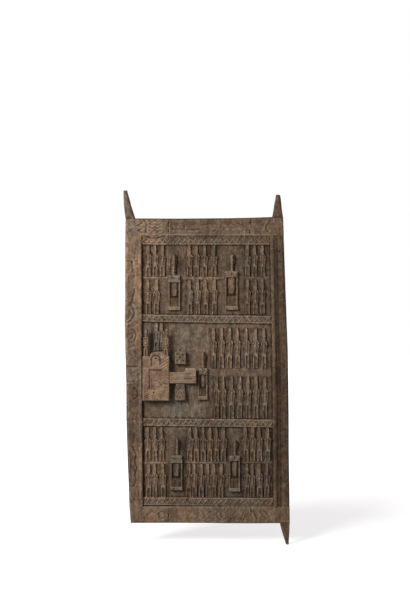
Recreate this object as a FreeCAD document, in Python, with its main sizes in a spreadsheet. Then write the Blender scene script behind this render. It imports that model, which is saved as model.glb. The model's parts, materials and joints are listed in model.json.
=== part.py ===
import FreeCAD, Part
import os
import re
import Sketcher

# A carved granary door: three upright planks held by staples, with horns for pivots,
# relief carving on the front, and a wooden bolt lock with drop tumblers.
# The front faces -Y. The origin is the tip of the lower pivot, on the swing axis.

SIZES = {
    # door leaf
    "door_width": 733,
    "body_height": 1406,
    "body_lift": 101,
    "post_reach": 10.5,
    "edge_lean": 27,
    "free_edge_bow": 9,
    "pivot_edge_bow": 6,
    "inner_lean": 12,
    "back_inset": 18,
    "plank_thickness": 28,
    "plank_gap": 0.3,
    # raised border, rims and rails
    "border_depth": 42,
    "rim_depth": 46,
    "rail_depth": 38,
    "tooth_relief": 4,
    "post_depth": 40,
    "post_round": 9,
    "lintel_height": 84,
    "sill_height": 78,
    "left_border": 47,
    "rim_width": 14,
    "post_width": 42,
    "post_groove": 12,
    "rail_height": 35,
    "ridge_height": 8,
    "rail_gap": 4,
    "tooth_length": 24,
    "tooth_stroke": 6,
    "ledge_depth": 34,
    "ledge_height": 11,
    # horns
    "horn_thickness": 34,
    "horn_root": 30,
    "free_horn_height": 129,
    "free_horn_width": 44,
    "free_horn_tip": 19,
    "upper_pivot_height": 106,
    "upper_pivot_width": 49,
    "upper_pivot_tip": 18,
    "lower_pivot_width": 44,
    "lower_pivot_tip": 14,
    "tip_thickness": 15,
    # rows of small ancestor figures
    "small_figure_width": 25,
    "small_figure_depth": 40,
    # lock case
    "case_width": 122,
    "case_depth": 50,
    "case_roof": 23,
    "hump_width": 72,
    "hump_height": 20,
    "ear_width": 23,
    "ear_height": 132,
    "ear_depth": 30,
    "spike_radius": 3,
    "spike_bury": 16,
    "spike_recess": 3,
    "groove_width": 5,
    "groove_depth": 4,
    # bolt and tumblers
    "bolt_length": 249,
    "bolt_height": 50,
    "bolt_thickness": 24,
    "bolt_back": 20,
    "bolt_rise": 80,
    "bolt_proud": 4,
    "head_length": 51,
    "head_rise": 19,
    "key_height": 18,
    "key_depth": 9,
    "key_back": 10,
    "pin_width": 12,
    "pin_depth": 8,
    "pin_drop": 15,
    "pin_lift": 8,
    "pin_neck": 18,
    "pin_head": 9,
    "pin_head_width": 17,
    "first_pin": 31,
    "second_pin": 60,
    "third_pin": 83,
    "fit_clearance": 0.3,
    "slide_clearance": 0.5,
    # guide blocks
    "block_depth": 34,
    "upper_block_width": 50,
    "upper_block_height": 55,
    "upper_block_rise": 18,
    "lower_block_top": 38,
    "lower_block_foot": 50,
    "lower_block_height": 79,
    "block_place": 43,
    "figure_gap": 6.7,
    # seated ancestor figures
    "plate_depth": 26,
    "arm_depth": 19,
    "arm_width": 9,
    "torso_depth": 15,
    "torso_width": 22,
    "peg_radius": 4,
    "peg_bury": 14,
    # staples across the seams
    "staple_span": 52,
    "staple_width": 7,
    "staple_thickness": 4,
    "staple_leg": 20,
    "overrun": 2,
}

# Places along the door, as shares of its width measured from the pivot side, and up the door
# as shares of the body height measured from its foot.
LEFT_SEAM_SHARE = 0.762
RIGHT_SEAM_SHARE = 0.2433
UPPER_RAIL_SHARE = 0.6722
LOWER_RAIL_SHARE = 0.3305

# The lock's foot, as a share of the height that the lock leaves free between its two rails.
CASE_PLACE_SHARE = 0.7681

# Each seated figure: its place across and up, its frame's width and height, its head's length
# and its head's radius, as shares of the door width and of the body height. The figure beside the
# bolt has no place across of its own, because it stands a set gap from the bolt's end.
SEATED_SHARES = {
    "ancestor_figure_upper_left": (0.7235, 0.6972, 0.0770, 0.1165, 0.0668, 0.0165),
    "ancestor_figure_upper_right": (0.3668, 0.6986, 0.0815, 0.1281, 0.0510, 0.0130),
    "ancestor_figure_beside_bolt": (None, 0.4060, 0.0640, 0.1031, 0.0490, 0.0125),
    "ancestor_figure_lower_left": (0.7115, 0.1060, 0.0815, 0.1188, 0.0541, 0.0135),
    "ancestor_figure_lower_right": (0.3498, 0.1036, 0.0740, 0.1217, 0.0455, 0.0125),
}

# The rows of small figures: register, foot and height as shares of the register, then for each
# plank the columns' first and last places as shares of the door width, and their number. A first
# place of None starts the row a set gap from the figure beside the bolt.
ROW_SHARES = {
    "row_a": ("upper", 0.562, 0.425, {"left": (0.888, 0.800, 3), "middle": (0.630, 0.476, 4),
                                      "middle_end": (0.266, 0.266, 1), "right": (0.218, 0.167, 2)}),
    "row_b": ("upper", 0.010, 0.490, {"left": (0.888, 0.837, 2), "middle": (0.625, 0.471, 4),
                                      "middle_end": (0.266, 0.266, 1), "right": (0.218, 0.167, 2)}),
    "row_c": ("middle", 0.522, 0.413, {"middle": (None, 0.266, 5), "right": (0.210, 0.157, 2)}),
    "row_d": ("middle", 0.010, 0.420, {"middle": (None, 0.266, 5), "right": (0.210, 0.157, 2)}),
    "row_lock": ("over_lock", 0.032, 0.93, {"left": (0.834, 0.803, 2)}),
    "row_e": ("lower", 0.512, 0.478, {"left": (0.888, 0.800, 3), "middle": (0.629, 0.417, 6),
                                      "middle_end": (0.268, 0.268, 1), "right": (0.2245, 0.139, 3)}),
    "row_f": ("lower", 0.010, 0.472, {"left": (0.888, 0.800, 3), "middle": (0.629, 0.428, 6),
                                      "middle_end": (0.268, 0.268, 1), "right": (0.2245, 0.143, 3)}),
}

# The ledges between two rows, as shares of their register's height.
LEDGE_SHARES = {"upper": 0.530, "lower": 0.485}

# Half of a small standing figure, feet to headdress, as shares of its width and height.
STANDING_SHARES = ((0.10, 0.0), (0.44, 0.0), (0.36, 0.36), (0.28, 0.48), (0.50, 0.62),
                   (0.42, 0.72), (0.18, 0.74), (0.26, 0.83), (0.07, 1.0))
CROTCH_SHARE = 0.34

# Sizes that follow from the others: the case is as tall as what it holds, and it stands between
# the two middle rails.
FOLLOWING = {
    "case_height": "bolt_rise + bolt_height + pin_neck + pin_drop + pin_head + pin_lift + case_roof",
    "case_foot": f"body_lift + body_height * {LOWER_RAIL_SHARE} + rail_height / 2 + "
                 f"(body_height * {round(UPPER_RAIL_SHARE - LOWER_RAIL_SHARE, 4)} - rail_height - "
                 f"case_height - ear_height) * {CASE_PLACE_SHARE}",
}

doc = FreeCAD.newDocument("granary_door")
sheet = doc.addObject("Spreadsheet::Sheet", "sizes")
for row, (alias, size) in enumerate(SIZES.items(), start=1):
    sheet.set(f"A{row}", alias)
    sheet.set(f"B{row}", str(size))
    sheet.setAlias(f"B{row}", alias)
for row, (alias, formula) in enumerate(FOLLOWING.items(), start=len(SIZES) + 1):
    sheet.set(f"A{row}", alias)
    sheet.set(f"B{row}", "=" + formula)
    sheet.setAlias(f"B{row}", alias)
doc.recompute()


def linked(text):
    """The expression with each named size pointing at the sheet."""
    known = SIZES | FOLLOWING
    return re.sub(r"[a-z][a-z_]+", lambda word: "sizes." + word.group() if word.group() in known
                  else word.group(), text)


def bind(thing, prop, text):
    thing.setExpression(prop, linked(text))


def measure(text):
    return float(sheet.evalExpression(text))


def across(share):
    """Place across the door at its foot, from a share of the width."""
    return f"(post_reach - door_width * {share})"


def upward(share):
    return f"(body_lift + body_height * {share})"


def new_body(label):
    body = doc.addObject("PartDesign::Body", label)
    body.Label = label
    bind(body, "Placement.Base.y", "back_inset")
    return body


def plane(body, role):
    return [item for item in body.Origin.OriginFeatures if item.Role == role][0]


def new_feature(body, kind, name):
    feature = body.newObject("PartDesign::" + kind, name)
    feature.Refine = False
    return feature


def new_sketch(body, name, level="0", role="XZ_Plane"):
    sketch = body.newObject("Sketcher::SketchObject", name)
    sketch.AttachmentSupport = [(plane(body, role), "")]
    sketch.MapMode = "FlatFace"
    bind(sketch, "AttachmentOffset.Base.z", level)
    return sketch


def point_constraints(geometry, end, place):
    """The two sizes that hold a point of a sketch, each with its expression."""
    kinds = ("DistanceX", "DistanceY")
    return [(Sketcher.Constraint(kind, geometry, end, measure(text)), text)
            for kind, text in zip(kinds, place)]


def add_constraints(sketch, free, sized):
    """Add the constraints in one go, then tie the sized ones to their expressions."""
    first = sketch.ConstraintCount
    sketch.addConstraint(free + [constraint for constraint, text in sized])
    for number, (constraint, text) in enumerate(sized):
        bind(sketch, f"Constraints[{first + len(free) + number}]", text)


def add_loop(sketch, points):
    """A closed outline of straight edges through the given places."""
    corners = [FreeCAD.Vector(measure(along), measure(up), 0) for along, up in points]
    first = sketch.GeometryCount
    count = len(points)
    sketch.addGeometry([Part.LineSegment(corner, corners[(number + 1) % count])
                        for number, corner in enumerate(corners)])
    joints = [Sketcher.Constraint("Coincident", first + number, 2, first + (number + 1) % count, 1)
              for number in range(count)]
    sized = []
    for number, point in enumerate(points):
        sized += point_constraints(first + number, 1, point)
    add_constraints(sketch, joints, sized)


def add_circle(sketch, place, radius):
    centre = FreeCAD.Vector(measure(place[0]), measure(place[1]), 0)
    ring = sketch.addGeometry(Part.Circle(centre, FreeCAD.Vector(0, 0, 1), measure(radius)))
    sized = point_constraints(ring, 3, place)
    sized.append((Sketcher.Constraint("Radius", ring, measure(radius)), radius))
    add_constraints(sketch, [], sized)


def pad(body, name, loops, length, level="0", role="XZ_Plane", midplane=False):
    sketch = new_sketch(body, name + "_outline", level, role)
    for points in loops:
        add_loop(sketch, points)
    feature = new_feature(body, "Pad", name)
    feature.Profile = sketch
    feature.Midplane = midplane
    bind(feature, "Length", length)
    return feature


def pocket(body, name, sketch, length, midplane=False, toward_front=False):
    feature = new_feature(body, "Pocket", name)
    feature.Profile = sketch
    feature.Midplane = midplane
    feature.Reversed = toward_front
    bind(feature, "Length", length)
    return feature


def box_loop(left, bottom, right, top):
    return [(left, bottom), (right, bottom), (right, top), (left, top)]


def ring_sketch(body, name, level, centre_x, width, thickness):
    """A cross-section with cut corners, square to the door's height, about the swing plane."""
    sketch = new_sketch(body, name, level, "XY_Plane")
    cut_share = 0.22
    shares = ((0.5, 0.5 - cut_share), (0.5 - cut_share, 0.5), (cut_share - 0.5, 0.5),
              (-0.5, 0.5 - cut_share), (-0.5, cut_share - 0.5), (cut_share - 0.5, -0.5),
              (0.5 - cut_share, -0.5), (0.5, cut_share - 0.5))
    add_loop(sketch, [(f"{centre_x} + {width} * ({x})", f"{thickness} * ({y}) - back_inset")
                      for x, y in shares])
    return sketch


def horn(body, name, root, tip):
    """A tapered horn from a root section to a tip section: level, centre, width, thickness."""
    loft = new_feature(body, "AdditiveLoft", name)
    loft.Profile = ring_sketch(body, name + "_root", *root)
    loft.Sections = [ring_sketch(body, name + "_tip", *tip)]
    loft.Ruled = True
    return loft


# Levels that the border, the rails and the registers share.
FOOT = "body_lift"
CROWN = "(body_lift + body_height)"
LINTEL_FOOT = f"({CROWN} - lintel_height)"
SILL_TOP = "(body_lift + sill_height)"
HALF_WAY = "(body_lift + body_height / 2)"
RAIL_FEET = {
    "top_rail": f"({LINTEL_FOOT} - rail_gap - rail_height)",
    "upper_rail": f"({upward(UPPER_RAIL_SHARE)} - rail_height / 2)",
    "lower_rail": f"({upward(LOWER_RAIL_SHARE)} - rail_height / 2)",
    "bottom_rail": f"({SILL_TOP} + rail_gap)",
}
REGISTERS = {
    "upper": (f"({RAIL_FEET['upper_rail']} + rail_height)", RAIL_FEET["top_rail"]),
    "middle": (f"({RAIL_FEET['lower_rail']} + rail_height)", RAIL_FEET["upper_rail"]),
    "lower": (f"({RAIL_FEET['bottom_rail']} + rail_height)", RAIL_FEET["lower_rail"]),
    "over_lock": ("(case_foot + case_height + hump_height)", RAIL_FEET["upper_rail"]),
}


def leaning(start, level, lean):
    """A place that drifts toward the free side as it climbs the body."""
    return f"({start} - {lean} * (({level}) - body_lift) / body_height)"


# Lines up the door: the seams are upright, the edges and rims lean.
LEFT_SEAM = across(LEFT_SEAM_SHARE)
RIGHT_SEAM = across(RIGHT_SEAM_SHARE)


def free_edge(level):
    return leaning("(post_reach - door_width)", level, "edge_lean")


def pivot_edge(level):
    return leaning("post_reach", level, "edge_lean")


def free_bow():
    """The free edge's outermost place, half way up."""
    return f"({free_edge(HALF_WAY)} - free_edge_bow)", HALF_WAY


def pivot_bow():
    """The pivot edge's outermost place, half way up."""
    return f"({pivot_edge(HALF_WAY)} + pivot_edge_bow)", HALF_WAY


def bowed_edge(level):
    """The pivot edge at a level of the sill or the lintel, on the straight run to its bow."""
    rise = f"(min({level} - body_lift, body_lift + body_height - {level}) / (body_height / 2))"
    return f"({pivot_edge(level)} + pivot_edge_bow * {rise})"


def left_rim(level, side=0):
    return leaning(f"(post_reach - door_width + left_border + rim_width * {side})", level, "inner_lean")


def post_side(level):
    """The post's own side of the groove between the right rim and the pivot post."""
    return leaning("(post_reach - post_width)", level, "edge_lean")


def right_rim(level, side=0):
    """The right rim: side 0 is its inner edge, side 1 its edge at the groove."""
    return leaning(f"(post_reach - post_width - post_groove - rim_width * {1 - side})", level,
                   "edge_lean")


def relief(body, name, loops, depth):
    """Carving that stands on the board's ground, rooted a little way into it."""
    return pad(body, name, loops, f"{depth} - plank_thickness + overrun",
               "plank_thickness - overrun")


def repeat(body, feature, name, direction, count, length):
    """Repeat a feature along a line, the last copy a given length away from the first."""
    pattern = new_feature(body, "LinearPattern", name)
    pattern.Originals = [feature]
    pattern.Direction = direction
    pattern.Occurrences = count
    bind(pattern, "Length", length)
    body.Tip = pattern


def rail(name, foot, left, right):
    """A carved rail: a flat strip, and a zigzag ridge made of one chevron repeated along it."""
    strip = new_body(name)
    head = f"({foot} + rail_height)"
    ends = [(left(foot), foot), (right(foot), foot), (right(head), head), (left(head), head)]
    relief(strip, name + "_strip", [ends], "rail_depth")
    zigzag = new_body(name + "_zigzag")
    start = f"({left(foot)} + tooth_relief)"
    span = f"({right(head)} - tooth_relief - {start})"
    teeth = max(2, round(measure(span) / measure("tooth_length")))
    low = f"({foot} + rail_height * 0.16)"
    high = f"({foot} + rail_height * 0.84 - tooth_stroke)"
    stops = [f"({start} + {span} * {step / (2 * teeth)})" for step in range(3)]
    chevron = [(stops[0], low), (stops[1], high), (stops[2], low), (stops[2], f"({low} + tooth_stroke)"),
               (stops[1], f"({high} + tooth_stroke)"), (stops[0], f"({low} + tooth_stroke)")]
    first = relief(zigzag, name + "_chevron", [chevron], "(rail_depth + tooth_relief)")
    repeat(zigzag, first, name + "_chevrons", (first.Profile[0], ["H_Axis"]), teeth,
           f"{span} * {(teeth - 1) / teeth}")
    return [strip, zigzag]


def standing_row(name, register, foot_share, height_share, columns):
    """A row of standing figures in relief, one carved and the rest repeated along the row."""
    body = new_body(name)
    first_share, last_share, count = columns
    first_place = across(first_share) if first_share else ROW_START
    span = f"({across(last_share)} - {first_place})"
    if count > 1:
        count = min(count, 1 + int(measure(span) / measure("small_figure_width")))
    bottom, top = REGISTERS[register]
    foot = f"({bottom} + ({top} - {bottom}) * {foot_share})"
    height = f"(({top} - {bottom}) * {height_share})"
    centre = first_place

    def point(x_share, z_share):
        return (f"{centre} + small_figure_width * ({x_share})", f"{foot} + {height} * {z_share}")

    right_half = [point(x, z) for x, z in STANDING_SHARES]
    left_half = [point(-x, z) for x, z in reversed(STANDING_SHARES)]
    crotch = [point(-STANDING_SHARES[0][0], CROTCH_SHARE), point(STANDING_SHARES[0][0], CROTCH_SHARE)]
    first = relief(body, name + "_figure", [right_half + left_half + crotch], "small_figure_depth")
    if count > 1:
        repeat(body, first, name + "_figures", (first.Profile[0], ["H_Axis"]), count, span)
    return body


def staple_loop(seam, grow):
    """A staple seen along the door's height: a flush crown and two pointed legs."""
    half = f"(staple_span / 2 + {grow})"
    inner = f"(staple_span / 2 - staple_thickness - {grow})"
    crown = f"(-staple_thickness - {grow})"
    leg_end = f"(-staple_leg - {grow})"
    point = f"(-staple_leg - {grow} + staple_thickness)"
    return [(f"{seam} - {half}", "0"), (f"{seam} + {half}", "0"), (f"{seam} + {half}", point),
            (f"{seam} + {inner} + staple_thickness / 2", leg_end), (f"{seam} + {inner}", point),
            (f"{seam} + {inner}", crown), (f"{seam} - {inner}", crown), (f"{seam} - {inner}", point),
            (f"{seam} - {inner} - staple_thickness / 2", leg_end), (f"{seam} - {half}", point)]


STAPLE_FOOT_SHARE = 0.035
STAPLE_RUN_SHARE = 0.93
STAPLE_COUNT = 4


def repeat_upward(body, feature, name):
    repeat(body, feature, name, (plane(body, "Z_Axis"), [""]), STAPLE_COUNT,
           f"body_height * {STAPLE_RUN_SHARE}")


def staple_seats(body, seam, name):
    sketch = new_sketch(body, name + "_outline", upward(STAPLE_FOOT_SHARE), "XY_Plane")
    add_loop(sketch, staple_loop(seam, "fit_clearance"))
    cut = pocket(body, name, sketch, "staple_width + 2 * fit_clearance", midplane=True)
    repeat_upward(body, cut, name + "_repeat")


def blind_holes(body, name, places, radius, depth):
    """Round holes sunk from the carved ground into the plank."""
    sketch = new_sketch(body, name + "_circles", "plank_thickness")
    for place in places:
        add_circle(sketch, place, radius)
    pocket(body, name, sketch, depth)


# The lock's places, all measured from the case's free lower corner on the plank.
CASE_LEFT = leaning("(post_reach - door_width + left_border + rim_width + slide_clearance)",
                    "case_foot", "inner_lean")
CASE_RIGHT = f"({CASE_LEFT} + case_width)"
CASE_TOP = "(case_foot + case_height)"
BOLT_FOOT = "(case_foot + bolt_rise)"
BOLT_TOP = "(case_foot + bolt_rise + bolt_height)"
BOLT_LEFT = f"({CASE_LEFT} - bolt_proud)"
BOLT_RIGHT = f"({BOLT_LEFT} + bolt_length)"
HEAD_LEFT = f"({BOLT_RIGHT} - head_length)"
BOLT_TRAVEL = f"({HEAD_LEFT} - {CASE_RIGHT} - slide_clearance)"
PINS = ("first_pin", "second_pin", "third_pin")
PIN_LEDGE = f"({BOLT_TOP} + pin_neck)"
PIN_HEAD_FOOT = f"({PIN_LEDGE} + pin_drop)"
PIN_TOP = f"({PIN_HEAD_FOOT} + pin_head)"
SLOT_TOP = f"({PIN_TOP} + pin_lift + fit_clearance)"
KEY_TOP = f"({BOLT_TOP} - pin_drop)"
CASE_CENTRE = f"({CASE_LEFT} + case_width / 2)"
SPIKES = ((f"({CASE_CENTRE} + case_width * 0.02)", f"({CASE_TOP} + hump_height * 0.1)"),
          (f"({CASE_CENTRE} - case_width * 0.02)", "(case_foot + case_height * 0.17)"))
BLOCK_CENTRE = f"({CASE_RIGHT} + slide_clearance + block_place)"


BESIDE_BOLT_WIDTH = f"door_width * {SEATED_SHARES['ancestor_figure_beside_bolt'][2]}"
ROW_START = f"({BOLT_RIGHT} + {BESIDE_BOLT_WIDTH} + 4 * figure_gap + small_figure_width / 2)"


def seated_place(name):
    across_share, up_share = SEATED_SHARES[name][:2]
    beside_bolt = f"({BOLT_RIGHT} + figure_gap + {BESIDE_BOLT_WIDTH} / 2)"
    return across(across_share) if across_share else beside_bolt, upward(up_share)


def seated_pegs(name):
    """Where the two pegs of a seated figure lie: behind its base and behind its shoulders."""
    centre, foot = seated_place(name)
    height = f"body_height * {SEATED_SHARES[name][3]}"
    return [(centre, f"{foot} + {height} * 0.07"), (centre, f"{foot} + {height} * 0.86")]


UPPER_BLOCK_FOOT = f"({BOLT_TOP} + head_rise + upper_block_rise)"
LOWER_BLOCK_TOP = f"({BOLT_FOOT} - slide_clearance)"
BLOCK_PEGS = [(BLOCK_CENTRE, f"{UPPER_BLOCK_FOOT} + upper_block_height * 0.3"),
              (BLOCK_CENTRE, f"{UPPER_BLOCK_FOOT} + upper_block_height * 0.7"),
              (BLOCK_CENTRE, f"{LOWER_BLOCK_TOP} - lower_block_height * 0.25"),
              (BLOCK_CENTRE, f"{LOWER_BLOCK_TOP} - lower_block_height * 0.75")]
FIGURE_PEGS = [place for name in SEATED_SHARES for place in seated_pegs(name)]


def board(label, left, right, left_bow=(), right_bow=()):
    """The plain board between two lines up the door, each of which may bow out half way."""
    body = new_body(label)
    outline = [(left(FOOT), FOOT), (right(FOOT), FOOT), *right_bow, (right(CROWN), CROWN),
               (left(CROWN), CROWN), *left_bow]
    pad(body, label + "_blank", [outline], "plank_thickness")
    return body


def carving(section, left, right):
    """All that is carved on one plank inside the border: rails, ledges and rows of figures."""
    pieces = []
    for name, foot in RAIL_FEET.items():
        pieces += rail(f"{section}_{name}", foot, left, right)
    for name, (register, foot_share, height_share, places) in ROW_SHARES.items():
        for key, columns in places.items():
            if key.split("_")[0] == section:
                pieces.append(standing_row(f"{section}_{name}_{key}", register, foot_share,
                                           height_share, columns))
    return pieces


def ledges(section, left, right):
    """The narrow shelf between the two rows of figures in the upper and lower registers."""
    pieces = []
    for register, share in LEDGE_SHARES.items():
        bottom, top = REGISTERS[register]
        foot = f"({bottom} + ({top} - {bottom}) * {share} - ledge_height / 2)"
        head = f"({foot} + ledge_height)"
        ends = [(left(foot), foot), (right(foot), foot), (right(head), head), (left(head), head)]
        body = new_body(f"{section}_{register}_ledge")
        relief(body, f"{section}_{register}_shelf", [ends], "ledge_depth")
        pieces.append(body)
    return pieces


def carved_plank(label, body, pieces):
    """The board and its carving as the one piece of wood that they are."""
    plank = doc.addObject("Part::MultiFuse", label)
    plank.Label = label
    plank.Shapes = [body] + pieces
    plank.Refine = True
    return plank


def seam_line(place):
    return lambda level: place


def left_plank():
    """The free side: border, left rim, the free horn and the lock's spike holes."""
    seam = f"({LEFT_SEAM} - plank_gap / 2)"
    body = board("left_board", free_edge, seam_line(seam), left_bow=[free_bow()])
    border = [(free_edge(FOOT), FOOT), (seam, FOOT), (seam, SILL_TOP), (left_rim(SILL_TOP), SILL_TOP),
              (left_rim(LINTEL_FOOT), LINTEL_FOOT), (seam, LINTEL_FOOT), (seam, CROWN),
              (free_edge(CROWN), CROWN), free_bow()]
    pad(body, "left_border_face", [border], "border_depth")
    rim = [(left_rim(SILL_TOP), SILL_TOP), (left_rim(SILL_TOP, 1), SILL_TOP),
           (left_rim(LINTEL_FOOT, 1), LINTEL_FOOT), (seam, LINTEL_FOOT),
           (seam, f"{LINTEL_FOOT} + ridge_height"), (left_rim(LINTEL_FOOT), f"{LINTEL_FOOT} + ridge_height")]
    pad(body, "left_rim", [rim], "rim_depth")

    def inner(level):
        return left_rim(level, 1)

    root = f"({CROWN} - horn_root)"
    tip = f"({CROWN} + free_horn_height)"
    horn(body, "free_horn",
         (root, f"({free_edge(CROWN)} + free_horn_width / 2)", "free_horn_width", "horn_thickness"),
         (tip, f"({free_edge(CROWN)} + free_horn_tip * 0.05)", "free_horn_tip", "tip_thickness"))
    blind_holes(body, "spike_holes", SPIKES, "spike_radius + fit_clearance",
                "spike_bury + fit_clearance")
    staple_seats(body, LEFT_SEAM, "left_staple_seats")
    pieces = carving("left", inner, seam_line(seam)) + ledges("left", inner, seam_line(seam))
    return carved_plank("left_plank", body, pieces)


def middle_plank():
    """The widest plank, which carries the seated figures and the guide blocks."""
    left = f"({LEFT_SEAM} + plank_gap / 2)"
    right = f"({RIGHT_SEAM} - plank_gap / 2)"
    body = board("middle_board", seam_line(left), seam_line(right))
    pad(body, "middle_sill", [box_loop(left, FOOT, right, SILL_TOP)], "border_depth")
    pad(body, "middle_lintel", [box_loop(left, LINTEL_FOOT, right, CROWN)], "border_depth")
    ridge = box_loop(left, LINTEL_FOOT, right, f"({LINTEL_FOOT} + ridge_height)")
    pad(body, "middle_ridge", [ridge], "rim_depth")
    blind_holes(body, "peg_holes", FIGURE_PEGS + BLOCK_PEGS, "peg_radius + fit_clearance",
                "peg_bury + fit_clearance")
    staple_seats(body, LEFT_SEAM, "middle_left_seats")
    staple_seats(body, RIGHT_SEAM, "middle_right_seats")
    return carved_plank("middle_plank", body, carving("middle", seam_line(left), seam_line(right)))


def post_edges(feature):
    """The upright front edges of the pivot post."""
    front = -measure("post_depth")
    inner_edge = measure(post_side(SILL_TOP)) - measure("edge_lean")
    names = []
    for number, edge in enumerate(feature.Shape.Edges, start=1):
        ends = [vertex.Point for vertex in edge.Vertexes]
        if len(ends) == 2 and all(abs(end.y - front) < measure("plank_gap") for end in ends):
            tall = abs(ends[0].z - ends[1].z) > measure("body_height") / 3
            if tall and min(end.x for end in ends) > inner_edge - measure("plank_gap"):
                names.append(f"Edge{number}")
    return names


def right_plank():
    """The pivot side: right rim, groove, rounded post and the two pivots."""
    seam = f"({RIGHT_SEAM} + plank_gap / 2)"
    body = board("right_board", seam_line(seam), pivot_edge, right_bow=[pivot_bow()])
    post = [(post_side(SILL_TOP), SILL_TOP), (bowed_edge(SILL_TOP), SILL_TOP), pivot_bow(),
            (bowed_edge(LINTEL_FOOT), LINTEL_FOOT), (post_side(LINTEL_FOOT), LINTEL_FOOT)]
    post_pad = pad(body, "pivot_post", [post], "post_depth")
    doc.recompute()
    rounding = new_feature(body, "Fillet", "post_rounding")
    rounding.Base = (post_pad, post_edges(post_pad))
    bind(rounding, "Radius", "post_round")
    sill = [(seam, FOOT), (pivot_edge(FOOT), FOOT), (bowed_edge(SILL_TOP), SILL_TOP), (seam, SILL_TOP)]
    pad(body, "right_sill", [sill], "border_depth")
    lintel = [(seam, LINTEL_FOOT), (bowed_edge(LINTEL_FOOT), LINTEL_FOOT), (pivot_edge(CROWN), CROWN),
              (seam, CROWN)]
    pad(body, "right_lintel", [lintel], "border_depth")
    rim = [(right_rim(SILL_TOP), SILL_TOP), (right_rim(SILL_TOP, 1), SILL_TOP),
           (right_rim(LINTEL_FOOT, 1), LINTEL_FOOT),
           (right_rim(LINTEL_FOOT, 1), f"{LINTEL_FOOT} + ridge_height"),
           (seam, f"{LINTEL_FOOT} + ridge_height"), (seam, LINTEL_FOOT),
           (right_rim(LINTEL_FOOT), LINTEL_FOOT)]
    pad(body, "right_rim", [rim], "rim_depth")
    root = f"({CROWN} - horn_root)"
    tip = f"({CROWN} + upper_pivot_height)"
    horn(body, "upper_pivot",
         (root, f"({pivot_edge(CROWN)} - upper_pivot_width / 2)", "upper_pivot_width",
          "horn_thickness"),
         (tip, f"({pivot_edge(CROWN)} - upper_pivot_width / 2)", "upper_pivot_tip", "tip_thickness"))
    horn(body, "lower_pivot",
         ("(body_lift + horn_root)", "(post_reach - lower_pivot_width / 2)", "lower_pivot_width",
          "horn_thickness"),
         ("0", "0", "lower_pivot_tip", "tip_thickness"))
    staple_seats(body, RIGHT_SEAM, "right_staple_seats")
    pieces = carving("right", seam_line(seam), right_rim) + ledges("right", seam_line(seam), right_rim)
    return carved_plank("right_plank", body, pieces)


def seam_staples(label, seam):
    """Iron staples driven in from the back, their crowns flush with the boards."""
    body = new_body(label)
    body.AllowCompound = True
    first = pad(body, label + "_first", [staple_loop(seam, "0")], "staple_width",
                upward(STAPLE_FOOT_SHARE), "XY_Plane", midplane=True)
    repeat_upward(body, first, label + "_repeat")
    return body


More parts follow.
